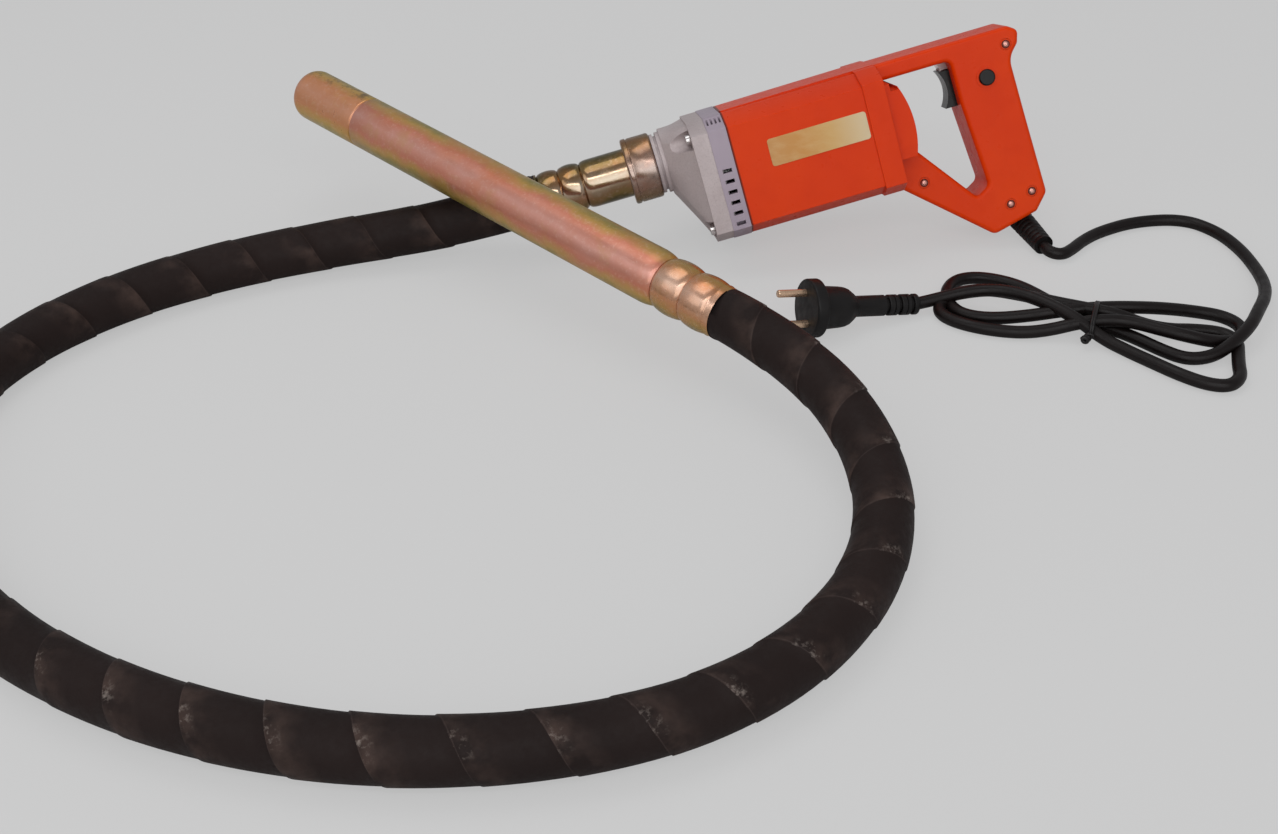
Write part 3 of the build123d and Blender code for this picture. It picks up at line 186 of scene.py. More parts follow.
class Finish:
    """A procedural material: a Principled shader, with patterns joined to its sockets one at a time."""

    def __init__(self, name, **sockets):
        self.material = bpy.data.materials.new(name)
        self.material.use_nodes = True
        self.tree = self.material.node_tree
        self.shader = self.tree.nodes["Principled BSDF"]
        for socket, value in sockets.items():
            self.shader.inputs[socket.replace("_", " ")].default_value = value
        self.coordinates = self.add("ShaderNodeTexCoord")
        self.place = self.coordinates.outputs["Object"]

    def add(self, kind, sockets=(), **settings):
        made = self.tree.nodes.new(kind)
        for setting, value in settings.items():
            setattr(made, setting, value)
        for socket, value in dict(sockets).items():
            self.feed(made.inputs[socket], value)
        return made

    def feed(self, socket, value):
        if isinstance(value, bpy.types.NodeSocket):
            self.tree.links.new(value, socket)
        else:
            socket.default_value = value

    def math(self, operation, *values):
        made = self.add("ShaderNodeMath", operation=operation)
        for socket, value in zip(made.inputs, values):
            self.feed(socket, value)
        return made.outputs[0]

    def noise(self, scale, detail=4.0, rough=0.55, stretch=(1, 1, 1)):
        mapping = self.add("ShaderNodeMapping", {"Vector": self.place, "Scale": stretch})
        made = self.add("ShaderNodeTexNoise", {"Vector": mapping.outputs[0], "Scale": scale, "Detail": detail,
                                               "Roughness": rough})
        return made.outputs["Fac"]

    def distance(self, origin, direction):
        """How far a point of the surface lies from the origin along the direction, in metres."""
        offset = self.add("ShaderNodeVectorMath", {0: self.place}, operation="SUBTRACT")
        offset.inputs[1].default_value = origin
        along = self.add("ShaderNodeVectorMath", {0: offset.outputs[0]}, operation="DOT_PRODUCT")
        along.inputs[1].default_value = direction
        return along.outputs["Value"]

    def ramp(self, value, stops):
        made = self.add("ShaderNodeValToRGB", {"Fac": value})
        band = made.color_ramp
        while len(band.elements) < len(stops):
            band.elements.new(0.5)
        for element, (place, colour) in zip(band.elements, stops):
            element.position = place
            element.color = colour
        return made.outputs["Color"]

    def between(self, value, low, high, to_low, to_high):
        made = self.add("ShaderNodeMapRange", {"Value": value, "From Min": low, "From Max": high,
                                               "To Min": to_low, "To Max": to_high})
        return made.outputs["Result"]

    def mixed(self, share, first, second):
        made = self.add("ShaderNodeMix", data_type="RGBA")
        self.feed(made.inputs[0], share)
        self.feed(made.inputs[6], first)
        self.feed(made.inputs[7], second)
        return made.outputs[2]

    def set(self, socket, value):
        self.feed(self.shader.inputs[socket], value)

    def bump(self, height, distance, strength=1.0):
        made = self.add("ShaderNodeBump", {"Height": height, "Distance": distance, "Strength": strength})
        before = self.shader.inputs["Normal"]
        if before.is_linked:
            self.feed(made.inputs["Normal"], before.links[0].from_socket)
        self.feed(before, made.outputs["Normal"])


def dress(piece, finish):
    piece.data.materials.clear()
    piece.data.materials.append(finish.material)


hose_line = route_curve("hose_line", hose_route)
hose_points, hose_along = line_of(hose_line)
bpy.data.objects.remove(hose_line)
lap_at = 0.012
tape_rows = [(0.0, -0.0001), (lap_at, 0.00045), (0.10, 0.0004), (0.28, 0.0003), (0.46, 0.0002),
             (0.64, 0.0001), (0.82, 0.0)]
hose = wound_tube("hose_wrap", hose_points, hose_along, hose_radius, tape_pitch, tape_rows, 60)
wrap = Finish("tape_wrapped_rubber", Specular_IOR_Level=0.12)
wrap_uv = wrap.add("ShaderNodeSeparateXYZ", {"Vector": wrap.coordinates.outputs["UV"]})
lap_share = wrap.math("FRACT", wrap.math("SUBTRACT", wrap_uv.outputs["X"], wrap_uv.outputs["Y"]))
near_seam = wrap.between(lap_share, 0.0, 0.2, 1.0, 0.0)
from_top = wrap.math("ABSOLUTE", wrap.math("SUBTRACT", wrap_uv.outputs["Y"], 0.1))
top_side = wrap.between(from_top, 0.02, 0.1, 1, 0)
grime = wrap.noise(260, 5, 0.7)
rubber = wrap.mixed(wrap.noise(9, 3), rgb(20, 13, 12), rgb(40, 30, 28))
dusty = wrap.math("MULTIPLY", near_seam, top_side)
dust_share = wrap.math("MULTIPLY", dusty, wrap.between(grime, 0.52, 0.7, 0, 0.6))
patchy = wrap.between(wrap.noise(60, 4), 0.42, 0.7, 0, 1)
veil = wrap.math("MULTIPLY", wrap.between(lap_share, 0.0, 0.5, 0.32, 0.0), patchy)
rubber = wrap.mixed(veil, rubber, rgb(108, 88, 80))
rubber = wrap.mixed(dust_share, rubber, rgb(168, 156, 148))
from_seam = wrap.math("ABSOLUTE", wrap.math("SUBTRACT", lap_share, lap_at))
seam_line = wrap.between(from_seam, 0.0, 0.008, 0.5, 0)
rubber = wrap.mixed(seam_line, rubber, rgb(66, 56, 54))
wrap.set("Base Color", rubber)
wrap.set("Roughness", wrap.between(grime, 0.3, 0.7, 0.5, 0.72))
wrap.bump(wrap.noise(420, 4, 0.6), 0.00012, 0.6)
wrap.bump(wrap.noise(900, 2, 0.5), 0.00006, 0.5)
dress(hose, wrap)
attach(hose, body_of["hose"])
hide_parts("hose")

# Mains cord: a round rubber two-core cord. It leaves the guard at the toe of the handle, swings round
# to the right and is folded to and fro in a loose hank, then runs out to the plug.
cord_radius = 0.004
cord_route = [(241.6, -17, 6.6), (242.1, -25.5, 6.3), (244.6, -33.5, 5.4), (252, -36, 4.6),
              (261.5, -29, 4.3), (271, -20, 4.2), (287, -9.5, 4.2), (316, 0.5, 4.2), (349, -2, 4.2),
              (364, -22, 4.2), (369, -48, 4.2), (367.5, -76, 4.6), (361.5, -101, 7.0),
              (351.5, -121, 10.4), (339, -138, 12.6), (327, -154, 12.6), (312, -166, 10.0),
              (299, -172, 6.0), (288, -173, 4.4), (278, -170, 4.2), (269, -159, 4.2), (259, -143, 4.2),
              (250, -132, 4.2), (240, -124, 4.2), (229, -107, 4.2), (221, -88, 4.2), (211, -70, 4.2),
              (198, -59, 4.2), (185, -54, 4.2), (173, -56, 4.2), (164, -66, 4.2), (160, -80, 4.2),
              (162, -94, 4.2), (170, -103, 4.6), (184, -108, 5.0), (203, -113, 8.0), (224, -117, 12.0),
              (246, -118, 12.4), (266, -121, 12.2), (288, -121, 9.0), (309, -122, 4.8),
              (321, -128, 4.2), (327, -138, 4.2), (326, -149, 4.2), (315, -158, 4.2), (300, -161, 8.0),
              (285, -160, 12.4), (272, -150, 12.6), (258, -138, 12.6), (243, -133, 12.6),
              (228, -131, 11.0), (212, -128, 6.0), (196, -126, 4.2), (180, -121, 4.2),
              (166, -113, 4.2), (156, -104, 4.2), (151, -94, 4.2), (154, -84, 5.0), (166, -79, 9.0),
              (184, -84, 12.4), (203, -95, 12.6), (221, -108, 12.6), (237, -118, 12.6),
              (252, -127, 12.4), (267, -135, 8.0), (282, -139, 5.0), (298, -141, 4.4),
              (313, -147, 4.4), (318, -158, 4.4), (312, -172, 4.4), (307, -184, 4.2), (303, -196, 4.2),
              (293, -204, 4.2), (281, -200, 4.2), (269, -187, 4.2), (259, -172, 4.2), (249, -157, 4.2),
              (238, -143, 6.0), (226, -128, 13.0), (213, -108, 14.0), (200, -94, 14.0),
              (186, -86, 13.0), (170, -83, 11.0), (155, -83, 8.5), (143, -83.8, 6.8), (134, -85, 6.6)]
cord = route_curve("power_cord_line", cord_route, cord_radius)
rubber_cord = Finish("cord_rubber", Specular_IOR_Level=0.22)
rubber_cord.set("Base Color", rubber_cord.mixed(rubber_cord.noise(38, 4), rgb(9, 5, 5), rgb(21, 14, 13)))
rubber_cord.set("Roughness", rubber_cord.between(rubber_cord.noise(120, 4), 0.3, 0.7, 0.32, 0.5))
rubber_cord.bump(rubber_cord.noise(700, 3), 0.00005, 0.5)
dress(cord, rubber_cord)

# Plug: a moulded rubber two-pin plug with a round face, a tapering grip and a ribbed sleeve on the
# cord. The plated brass pins are moulded into it.
plug_tail = (Vector((138.5, -84.4, 6.5)) + centring) / 1000
plug_face = (Vector((64.9, -96.9, 18.2)) + centring) / 1000


def turned(name, profile, origin, axis, steps=96):
    """A piece turned on a lathe: a closed profile of (distance along, radius) in millimetres."""
    axis = Vector(axis).normalized()
    across = axis.cross(Vector((0, 0, 1))).normalized()
    upward = across.cross(axis)
    vertices, faces = [], []
    for step in range(steps):
        angle = step * 2 * math.pi / steps
        outward = across * math.cos(angle) + upward * math.sin(angle)
        vertices += [Vector(origin) + axis * along / 1000 + outward * radius / 1000
                     for along, radius in profile]
    count = len(profile)
    for step in range(steps):
        here, there = step * count, (step + 1) % steps * count
        for k in range(count):
            after = (k + 1) % count
            if profile[k][1] > 0 or profile[after][1] > 0:
                faces.append((here + k, here + after, there + after, there + k))
    mesh = bpy.data.meshes.new(name)
    mesh.from_pydata(vertices, [], faces)
    return linked(name, weld(mesh, 1e-6, 34))


def arc(centre, radius, from_deg, to_deg, steps=6):
    """Points of a rounded corner on a profile."""
    return [(centre[0] + radius * math.cos(math.radians(from_deg + (to_deg - from_deg) * k / steps)),
             centre[1] + radius * math.sin(math.radians(from_deg + (to_deg - from_deg) * k / steps)))
            for k in range(steps + 1)]


plug_axis = plug_face - plug_tail
plug_length = plug_axis.length * 1000
sleeve = 6.6
sleeve_grooves = (3.4, 12.0, 20.6)
plug_profile = [(0, 0), (0, 5.6)] + arc((0.8, 5.8), 0.8, 180, 90, 3)
for groove in sleeve_grooves:
    plug_profile += [(groove - 0.5, sleeve), (groove, 6.2), (groove + 0.15, 4.7), (groove + 1.85, 4.7),
                     (groove + 2.0, 6.2), (groove + 2.5, sleeve)]
    middle = groove + 5.2
    if groove < sleeve_grooves[-1]:
        plug_profile += [(middle - 0.4, sleeve), (middle - 0.2, 6.0), (middle + 0.2, 6.0),
                         (middle + 0.4, sleeve)]
waist = plug_length - 33.3
plug_profile += [(waist, sleeve), (waist + 0.7, 7.0), (waist + 3.0, 9.0), (waist + 6.0, 11.3),
                 (waist + 8.6, 12.3), (waist + 12, 12.8), (plug_length - 9.2, 13.6),
                 (plug_length - 8.4, 14.2), (plug_length - 8.1, 15.2)]
plug_profile += arc((plug_length - 6.6, 16.8), 1.4, 170, 90)
plug_profile += arc((plug_length - 1.4, 16.8), 1.4, 90, 0) + [(plug_length, 0)]
plug = turned("plug_moulding", plug_profile, plug_tail, plug_axis, 128)
moulded = Finish("moulded_rubber", Specular_IOR_Level=0.25)
moulded.set("Base Color", moulded.mixed(moulded.noise(60, 4), rgb(9, 8, 8), rgb(22, 19, 19)))
moulded.set("Roughness", moulded.between(moulded.noise(200, 4), 0.3, 0.7, 0.38, 0.6))
moulded.bump(moulded.noise(1400, 3), 0.00006, 0.5)
dress(plug, moulded)
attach(plug, body_of["plug_body"])
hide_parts("plug_body")
pins = cad["plug_pins"]
brass = Finish("plated_brass", Metallic=0.9)
brass.set("Base Color", brass.mixed(brass.noise(90, 3), rgb(206, 168, 138), rgb(226, 198, 170)))
brass.set("Roughness", brass.between(brass.noise(300, 4, 0.6, (1, 1, 6)), 0.3, 0.7, 0.2, 0.38))
brass.bump(brass.noise(500, 3, 0.6, (1, 1, 5)), 0.00003, 0.4)
dress(pins, brass)

# Cord guard: a grooved strain relief, moulded in rubber. It is held in the toe of the handle, and tapers
# down to the cord that it grips.
guard_route = route_curve("guard_line", [(232.2, 8.9, 18.0), (234.6, 7.2, 12.6), (237.8, 1.5, 9.4),
                                         (240.3, -9.5, 7.6), (241.9, -20, 6.7), (242.5, -25, 6.6)])
guard_points, guard_along = line_of(guard_route)
bpy.data.objects.remove(guard_route)


def swept(name, points, along, section, sides=40):
    """A closed round tube along a line; section is a list of (distance along, radius) in metres."""
    at = np.array([row[0] for row in section])
    spot, heading = place_on(points, along, at)
    vertices, faces = [], []
    side = Vector(heading[0]).orthogonal()
    for k in range(len(at)):
        direction = Vector(heading[k])
        side = (side - direction * side.dot(direction)).normalized()
        other = direction.cross(side)
        for j in range(sides):
            angle = j * 2 * math.pi / sides
            outward = side * math.cos(angle) + other * math.sin(angle)
            vertices.append(Vector(spot[k]) + outward * section[k][1])
    for k in range(len(at) - 1):
        for j in range(sides):
            over = (j + 1) % sides
            faces.append((k * sides + j, k * sides + over, (k + 1) * sides + over, (k + 1) * sides + j))
    faces.append(tuple(range(sides))[::-1])
    faces.append(tuple((len(at) - 1) * sides + j for j in range(sides)))
    mesh = bpy.data.meshes.new(name)
    mesh.from_pydata(vertices, [], faces)
    return linked(name, weld(mesh, 1e-6, 40))


guard_length = guard_along[-1]
guard_root = 0.0082
guard_taper = 0.0016
guard_groove = 0.0004
guard_steps = 60
guard_section = []
for k in range(guard_steps):
    share = k / (guard_steps - 1)
    depth = guard_groove if 0.25 < share < 0.95 and k % 6 in (0, 1) else 0
    guard_section.append((share * guard_length, guard_root - guard_taper * share - depth))
guard_section.append((guard_length, 0.0042))
guard = swept("cord_guard_sleeve", guard_points, guard_along, guard_section)
dress(guard, moulded)
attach(guard, body_of["cord_guard"])
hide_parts("cord_guard")

# Hank tie: a plastic-coated wire, wound twice round the folded cord. Its ends are twisted together into
# a short knot.
tie_at = (Vector((239, -127, 9.6)) + centring) / 1000
tie_lean = math.radians(62)
tie_across = Vector((math.cos(tie_lean), math.sin(tie_lean), 0))
tie_along = Vector((math.sin(tie_lean), -math.cos(tie_lean), 0))
above = Vector((0, 0, 1))


def wire(name, line, radius, sides):
    """A round wire along a list of points."""
    points = np.array(line)
    along = np.concatenate([[0], np.cumsum(np.linalg.norm(np.diff(points, axis=0), axis=1))])
    return swept(name, points, along, [(distance, radius) for distance in along], sides)


tie_steps = 72
tie_half_width, tie_half_height, tie_spread = 0.0165, 0.0082, 0.0024
tie_line = []
for k in range(tie_steps + 1):
    angle = k / tie_steps * 4 * math.pi
    reach = tie_across * math.cos(angle) * tie_half_width + above * math.sin(angle) * tie_half_height
    tie_line.append(tie_at + reach + tie_along * (k / tie_steps - 0.5) * tie_spread)
tie = wire("tie_turns", tie_line, 0.0010, 12)
knot_at = tie_at - tie_across * 0.0160 + Vector((0, 0, -0.003))
knot_steps = 40
knot_line = []
for k in range(knot_steps + 1):
    angle = k / knot_steps * 5 * math.pi
    reach = 0.0017 + 0.0006 * math.sin(angle * 0.7)
    turn = tie_along * math.cos(angle) * reach + above * math.sin(angle) * reach
    knot_line.append(knot_at + turn - tie_across * k / knot_steps * 0.0052
                     - tie_along * k / knot_steps * 0.004)
knot = wire("tie_knot", knot_line, 0.0012, 10)
coated = Finish("coated_wire", Roughness=0.4, Specular_IOR_Level=0.3)
coated.set("Base Color", coated.mixed(coated.noise(200, 3), rgb(12, 10, 10), rgb(26, 22, 22)))
coated.bump(coated.noise(900, 2), 0.00004, 0.4)
for piece in (tie, knot):
    dress(piece, coated)
    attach(piece, body_of["cord_tie"])
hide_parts("cord_tie")

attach(cord, body_of["power_cord"])
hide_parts("power_cord", "cord_hank", "plug_cord")

# Floor and light: a pale table under soft studio lamps.
floor_mesh = bpy.data.meshes.new("floor")
floor_mesh.from_pydata([(-6, -6, 0), (6, -6, 0), (6, 6, 0), (-6, 6, 0)], [], [(0, 1, 2, 3)])
floor = linked("floor", floor_mesh)
table = Finish("pale_table", Roughness=0.9, Specular_IOR_Level=0.1)
table.set("Base Color", rgb(206, 206, 206))
evenness = 0.74
path = table.add("ShaderNodeLightPath")
glow = table.add("ShaderNodeEmission", {"Color": rgb(204, 204, 204), "Strength": 1.0})
glow_share = table.math("MULTIPLY", path.outputs["Is Camera Ray"], evenness)
blend = table.add("ShaderNodeMixShader", {0: glow_share, 1: table.shader.outputs[0], 2: glow.outputs[0]})
table.feed(table.tree.nodes["Material Output"].inputs["Surface"], blend.outputs[0])
dress(floor, table)
world = bpy.data.worlds.new("studio")
scene.world = world
world.use_nodes = True
sky = world.node_tree.nodes["Background"]
sky.inputs["Color"].default_value = rgb(214, 214, 216)
sky.inputs["Strength"].default_value = 0.62


def lamp(name, place, towards, width, height, power):
    data = bpy.data.lights.new(name, "AREA")
    data.shape = "RECTANGLE"
    data.size = width
    data.size_y = height
    data.energy = power
    aim = (Vector(towards) - Vector(place)).to_track_quat("-Z", "Y")
    linked(name, data).matrix_world = Matrix.Translation(place) @ aim.to_matrix().to_4x4()


lamp("overhead", (-0.25, 0.25, 1.5), (-0.05, -0.15, 0), 1.3, 0.8, 5.0)
lamp("front", (-0.2, -1.9, 1.05), (0, 0, 0.05), 2.8, 1.8, 20.0)
lamp("strip", (-0.15, -1.05, 1.15), (0, -0.05, 0.05), 1.6, 0.16, 2.4)
lamp("left_fill", (-1.3, -0.5, 0.9), (0, 0, 0), 0.9, 0.9, 2.2)

# Drive frame: the axis that the drive unit's pieces share. It tilts up towards the handle, and the unit
# leans over on its side, as the tool lies on the floor.
drive_origin = Vector((0.0412, 0.0272, 0.0519))
drive_axis = Vector((0.974761, 0, 0.223250))
drive_near = Vector((-0.072683, -0.945519, 0.317351))
drive_up = Vector((-0.211087, 0.325568, 0.921655))
spindle_rise = 0.0171
axis_foot = drive_origin + drive_up * spindle_rise


def refined(node, finish, width, segments=2):
    """A cast or moulded piece in its own shape, with its edges rounded off and its curved faces smooth."""
    piece = linked(node + "_body", weld(cad[node].data.copy(), 4e-6))
    work = bmesh.new()
    work.from_mesh(piece.data)
    bmesh.ops.dissolve_limit(work, angle_limit=math.radians(0.3), verts=work.verts, edges=work.edges)
    work.to_mesh(piece.data)
    work.free()
    edge = piece.modifiers.new("rounded", "BEVEL")
    edge.width = width
    edge.segments = segments
    edge.limit_method = "ANGLE"
    edge.angle_limit = math.radians(28)
    edge.miter_outer = "MITER_ARC"
    flat = piece.modifiers.new("flats", "WEIGHTED_NORMAL")
    flat.weight = 80
    dress(piece, finish)
    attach(piece, body_of[node])
    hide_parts(node)


# Gear case: a sand-cast aluminium nose, sprayed with dull grey lacquer, that holds the gears and the
# screwed spigot of the coupling. Four screws pull it onto the motor.
casting = Finish("grey_casting", Metallic=0.25, Specular_IOR_Level=0.5)
patches = casting.between(casting.noise(26, 4), 0.35, 0.68, 0, 1)
pits = casting.between(casting.noise(900, 3, 0.7), 0.5, 0.78, 0, 0.35)
rubs = casting.between(casting.noise(300, 2, 0.7), 0.62, 0.75, 0, 0.5)
tone = casting.mixed(patches, rgb(174, 161, 161), rgb(190, 179, 179))
tone = casting.mixed(pits, tone, rgb(118, 106, 106))
casting.set("Base Color", casting.mixed(rubs, tone, rgb(190, 182, 182)))
casting.set("Roughness", casting.between(casting.noise(500, 3), 0.3, 0.7, 0.42, 0.62))
casting.bump(casting.noise(1100, 3, 0.65), 0.00018, 0.7)
casting.bump(casting.noise(160, 2), 0.0004, 0.3)
refined("gear_case", casting, 0.0007)

# Case screws: bright zinc-plated pan-head screws, sunk in the pockets of the gear case. They pull the case
# and the vent ring onto the motor housing.
bright = Finish("bright_zinc", Metallic=1.0)
bright.set("Base Color", bright.mixed(bright.noise(400, 3), rgb(196, 190, 190), rgb(226, 222, 220)))
bright.set("Roughness", bright.between(bright.noise(700, 3), 0.3, 0.7, 0.14, 0.34))
bright.bump(bright.noise(900, 3), 0.00004, 0.5)
refined("gear_case_screws", bright, 0.0003)

# Vent ring: a lavender-grey moulded ring with cooling slots cut in its rim. It is clamped between the gear
# case and the motor housing.
ring_finish = Finish("vent_grey", Specular_IOR_Level=0.5)
ring_tone = ring_finish.mixed(ring_finish.noise(30, 4), rgb(150, 137, 150), rgb(166, 153, 165))
ring_finish.set("Base Color", ring_tone)
ring_finish.set("Roughness", ring_finish.between(ring_finish.noise(300, 4), 0.3, 0.7, 0.36, 0.52))
ring_finish.bump(ring_finish.noise(800, 3), 0.00006, 0.5)
refined("vent_ring", ring_finish, 0.0006)

# Motor housing: a glossy orange nylon shell that carries the stator, with the handle fixed on behind it.
# Its colour is darkened in a narrow band just behind its front joint, as painted shade.
orange = Finish("orange_nylon", Coat_Weight=0.03, Coat_Roughness=0.1, Specular_IOR_Level=0.12)
drifts = orange.between(orange.noise(14, 3), 0.35, 0.7, 0, 1)
handling = orange.between(orange.noise(60, 5, 0.6), 0.5, 0.75, 0, 0.3)
orange_tone = orange.mixed(drifts, rgb(210, 52, 0), rgb(218, 60, 1))
orange_tone = orange.mixed(handling, orange_tone, rgb(198, 46, 0))
joint_at = min((vertex.co - drive_origin).dot(drive_axis) for vertex in cad["motor_housing"].data.vertices)
behind_joint = orange.distance(drive_origin, drive_axis)
# Painted shade: dark brown fading out over a millimetre behind the joint with the vent ring.
joint_shade = orange.between(behind_joint, joint_at + 0.0008, joint_at + 0.0016, 0.85, 0)
orange.set("Base Color", orange.mixed(joint_shade, orange_tone, rgb(58, 22, 12)))
orange.set("Roughness", orange.between(orange.noise(240, 4), 0.3, 0.7, 0.26, 0.42))
orange.bump(orange.noise(420, 3), 0.00007, 0.45)
orange.bump(orange.noise(22, 2), 0.0006, 0.12)
refined("motor_housing", orange, 0.001)

# Handle: two halves moulded in the same orange nylon. They are screwed together round the switch, with a
# thin parting line between them.
refined("handle_left", orange, 0.0009)
refined("handle_right", orange, 0.0009)

# Handle screws: small domed steel screws that pull the handle halves together, each in a shallow bore whose
# shade is painted on a dark disc.
# Their pink is a painted reflection of the orange round them.
pale = Finish("screw_steel_painted_reflection", Metallic=1.0)
# Painted reflection: the pink base colour stands in for the orange housing reflected in the steel.
pale.set("Base Color", pale.mixed(pale.noise(500, 3), rgb(196, 132, 122), rgb(222, 172, 160)))
pale.set("Roughness", pale.between(pale.noise(800, 3), 0.3, 0.7, 0.18, 0.36))
pale.bump(pale.noise(900, 3), 0.00004, 0.5)
# Painted shade: a dark disc, raised just above the seat, stands in for the shade inside each screw's bore.
screw_shade = Finish("screw_bore_painted_shade", Roughness=0.6, Specular_IOR_Level=0.2)
screw_shade.set("Base Color", screw_shade.mixed(screw_shade.noise(300, 3), rgb(70, 22, 12), rgb(104, 34, 18)))
screw_shade.bump(screw_shade.noise(900, 2), 0.00004, 0.4)


def screw_head_tree():
    """Domed cross-recess heads, each on a dark disc of painted shade for its counterbore, on every point that
    comes in.
    """
    tree = bpy.data.node_groups.new("screw_heads", "GeometryNodeTree")
    tree.interface.new_socket("Places", in_out="INPUT", socket_type="NodeSocketGeometry")
    for title, kind in (("Head Radius", "NodeSocketFloat"), ("Head Height", "NodeSocketFloat"),
                        ("Bore Radius", "NodeSocketFloat"), ("Seat Radius", "NodeSocketFloat"),
                        ("Facing", "NodeSocketVector"), ("Turn Seed", "NodeSocketInt"),
                        ("Head Finish", "NodeSocketMaterial"), ("Bore Shade Finish", "NodeSocketMaterial"),
                        ("Seat Finish", "NodeSocketMaterial")):
        tree.interface.new_socket(title, in_out="INPUT", socket_type=kind)
    tree.interface.new_socket("Screws", in_out="OUTPUT", socket_type="NodeSocketGeometry")
    given = tree.nodes.new("NodeGroupInput").outputs
    link = tree.links.new

    def made(kind, **settings):
        fresh = tree.nodes.new(kind)
        for setting, value in settings.items():
            setattr(fresh, setting, value)
        return fresh

    def finished(geometry, finish):
        painted = made("GeometryNodeSetMaterial")
        link(geometry, painted.inputs["Geometry"])
        link(given[finish], painted.inputs["Material"])
        return painted.outputs[0]

    def disc(radius, top):
        body = made("GeometryNodeMeshCylinder")
        body.inputs["Vertices"].default_value = 40
        body.inputs["Depth"].default_value = 0.0016
        link(given[radius], body.inputs["Radius"])
        moved = made("GeometryNodeTransform")
        moved.inputs["Translation"].default_value = (0, 0, top - 0.0008)
        link(body.outputs["Mesh"], moved.inputs["Geometry"])
        return moved.outputs[0]

    ball = made("GeometryNodeMeshUVSphere")
    ball.inputs["Segments"].default_value = 32
    ball.inputs["Rings"].default_value = 16
    ball.inputs["Radius"].default_value = 1.0
    sizes = made("ShaderNodeCombineXYZ")
    link(given["Head Radius"], sizes.inputs[0])
    link(given["Head Radius"], sizes.inputs[1])
    link(given["Head Height"], sizes.inputs[2])
    dome = made("GeometryNodeTransform")
    link(ball.outputs["Mesh"], dome.inputs["Geometry"])
    link(sizes.outputs[0], dome.inputs["Scale"])
    recess = made("GeometryNodeJoinGeometry")
    for size in ((0.0021, 0.0005, 0.0012), (0.0005, 0.0021, 0.0012)):
        bar = made("GeometryNodeMeshCube")
        bar.inputs["Size"].default_value = size
        lifted = made("GeometryNodeTransform")
        lifted.inputs["Translation"].default_value = (0, 0, 0.0011)
        link(bar.outputs["Mesh"], lifted.inputs["Geometry"])
        link(lifted.outputs[0], recess.inputs[0])
    cut = made("GeometryNodeMeshBoolean", operation="DIFFERENCE")
    link(dome.outputs[0], cut.inputs["Mesh 1"])
    link(recess.outputs[0], cut.inputs["Mesh 2"])
    whole = made("GeometryNodeJoinGeometry")
    link(finished(disc("Seat Radius", 0.0), "Seat Finish"), whole.inputs[0])
    link(finished(disc("Bore Radius", 0.00012), "Bore Shade Finish"), whole.inputs[0])
    link(finished(cut.outputs["Mesh"], "Head Finish"), whole.inputs[0])
    aim = made("FunctionNodeAlignRotationToVector", axis="Z")
    link(given["Facing"], aim.inputs["Vector"])
    chance = made("FunctionNodeRandomValue", data_type="FLOAT")
    chance.inputs[3].default_value = 1.5
    link(given["Turn Seed"], chance.inputs["Seed"])
    spin = made("FunctionNodeAxisAngleToRotation")
    link(chance.outputs[1], spin.inputs["Angle"])
    turned_by = made("FunctionNodeRotateRotation", rotation_space="LOCAL")
    link(aim.outputs[0], turned_by.inputs[0])
    link(spin.outputs[0], turned_by.inputs[1])
    placed = made("GeometryNodeInstanceOnPoints")
    link(given["Places"], placed.inputs["Points"])
    link(whole.outputs[0], placed.inputs["Instance"])
    link(turned_by.outputs[0], placed.inputs["Rotation"])
    real = made("GeometryNodeRealizeInstances")
    link(placed.outputs[0], real.inputs[0])
    link(real.outputs[0], made("NodeGroupOutput").inputs[0])
    return tree


handle_face = 0.0190
screw_places = ((190.5, 30.5), (118.7, -42), (171.3, -72), (186.7, -67.5))
screw_spots = bpy.data.meshes.new("handle_screw_spots")
screw_spots.from_pydata([drive_origin + drive_axis * along / 1000 + drive_near * handle_face
                         + drive_up * rise / 1000 for along, rise in screw_places], [], [])
screw_heads = linked("handle_screw_heads", screw_spots)
heads = screw_heads.modifiers.new("heads", "NODES")
heads.node_group = screw_head_tree()
sockets = {item.name: item.identifier for item in heads.node_group.interface.items_tree}
for title, value in (("Head Radius", 0.00205), ("Head Height", 0.00105), ("Bore Radius", 0.00275),
                     ("Seat Radius", 0.00345), ("Facing", drive_near), ("Turn Seed", 5),
                     ("Head Finish", pale.material), ("Bore Shade Finish", screw_shade.material),
                     ("Seat Finish", orange.material)):
    heads[sockets[title]] = value
made_heads = bpy.data.meshes.new_from_object(screw_heads.evaluated_get(bpy.context.evaluated_depsgraph_get()))
screw_heads.modifiers.clear()
screw_heads.data = made_heads
for face in made_heads.polygons:
    face.use_smooth = len(face.vertices) < 6
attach(screw_heads, body_of["handle_screws"])
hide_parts("handle_screws")

# Rating plate: a blank anodised foil whose gold runs to cream. It is stuck in a shallow panel on the side
# of the motor housing.
foil = Finish("blank_foil", Metallic=0.1, Specular_IOR_Level=0.3)
low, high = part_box("rating_plate")
plate_along = foil.distance((0, 0, 0), drive_axis)
length_share = foil.between(plate_along, low.dot(drive_axis), high.dot(drive_axis), 0, 1)
foil_tone = foil.ramp(length_share, [(0.0, rgb(186, 136, 82)), (0.35, rgb(190, 136, 72)),
                                     (0.62, rgb(196, 156, 96)), (1.0, rgb(204, 188, 156))])
drag = foil.between(foil.noise(90, 3, 0.6, (1, 1, 3)), 0.4, 0.7, 0, 0.3)
foil_tone = foil.mixed(drag, foil_tone, rgb(204, 176, 128))
foil.set("Base Color", foil_tone)
foil.set("Roughness", foil.between(foil.noise(260, 3), 0.3, 0.7, 0.28, 0.42))
foil.bump(foil.noise(900, 2), 0.00003, 0.4)
refined("rating_plate", foil, 0.0002)

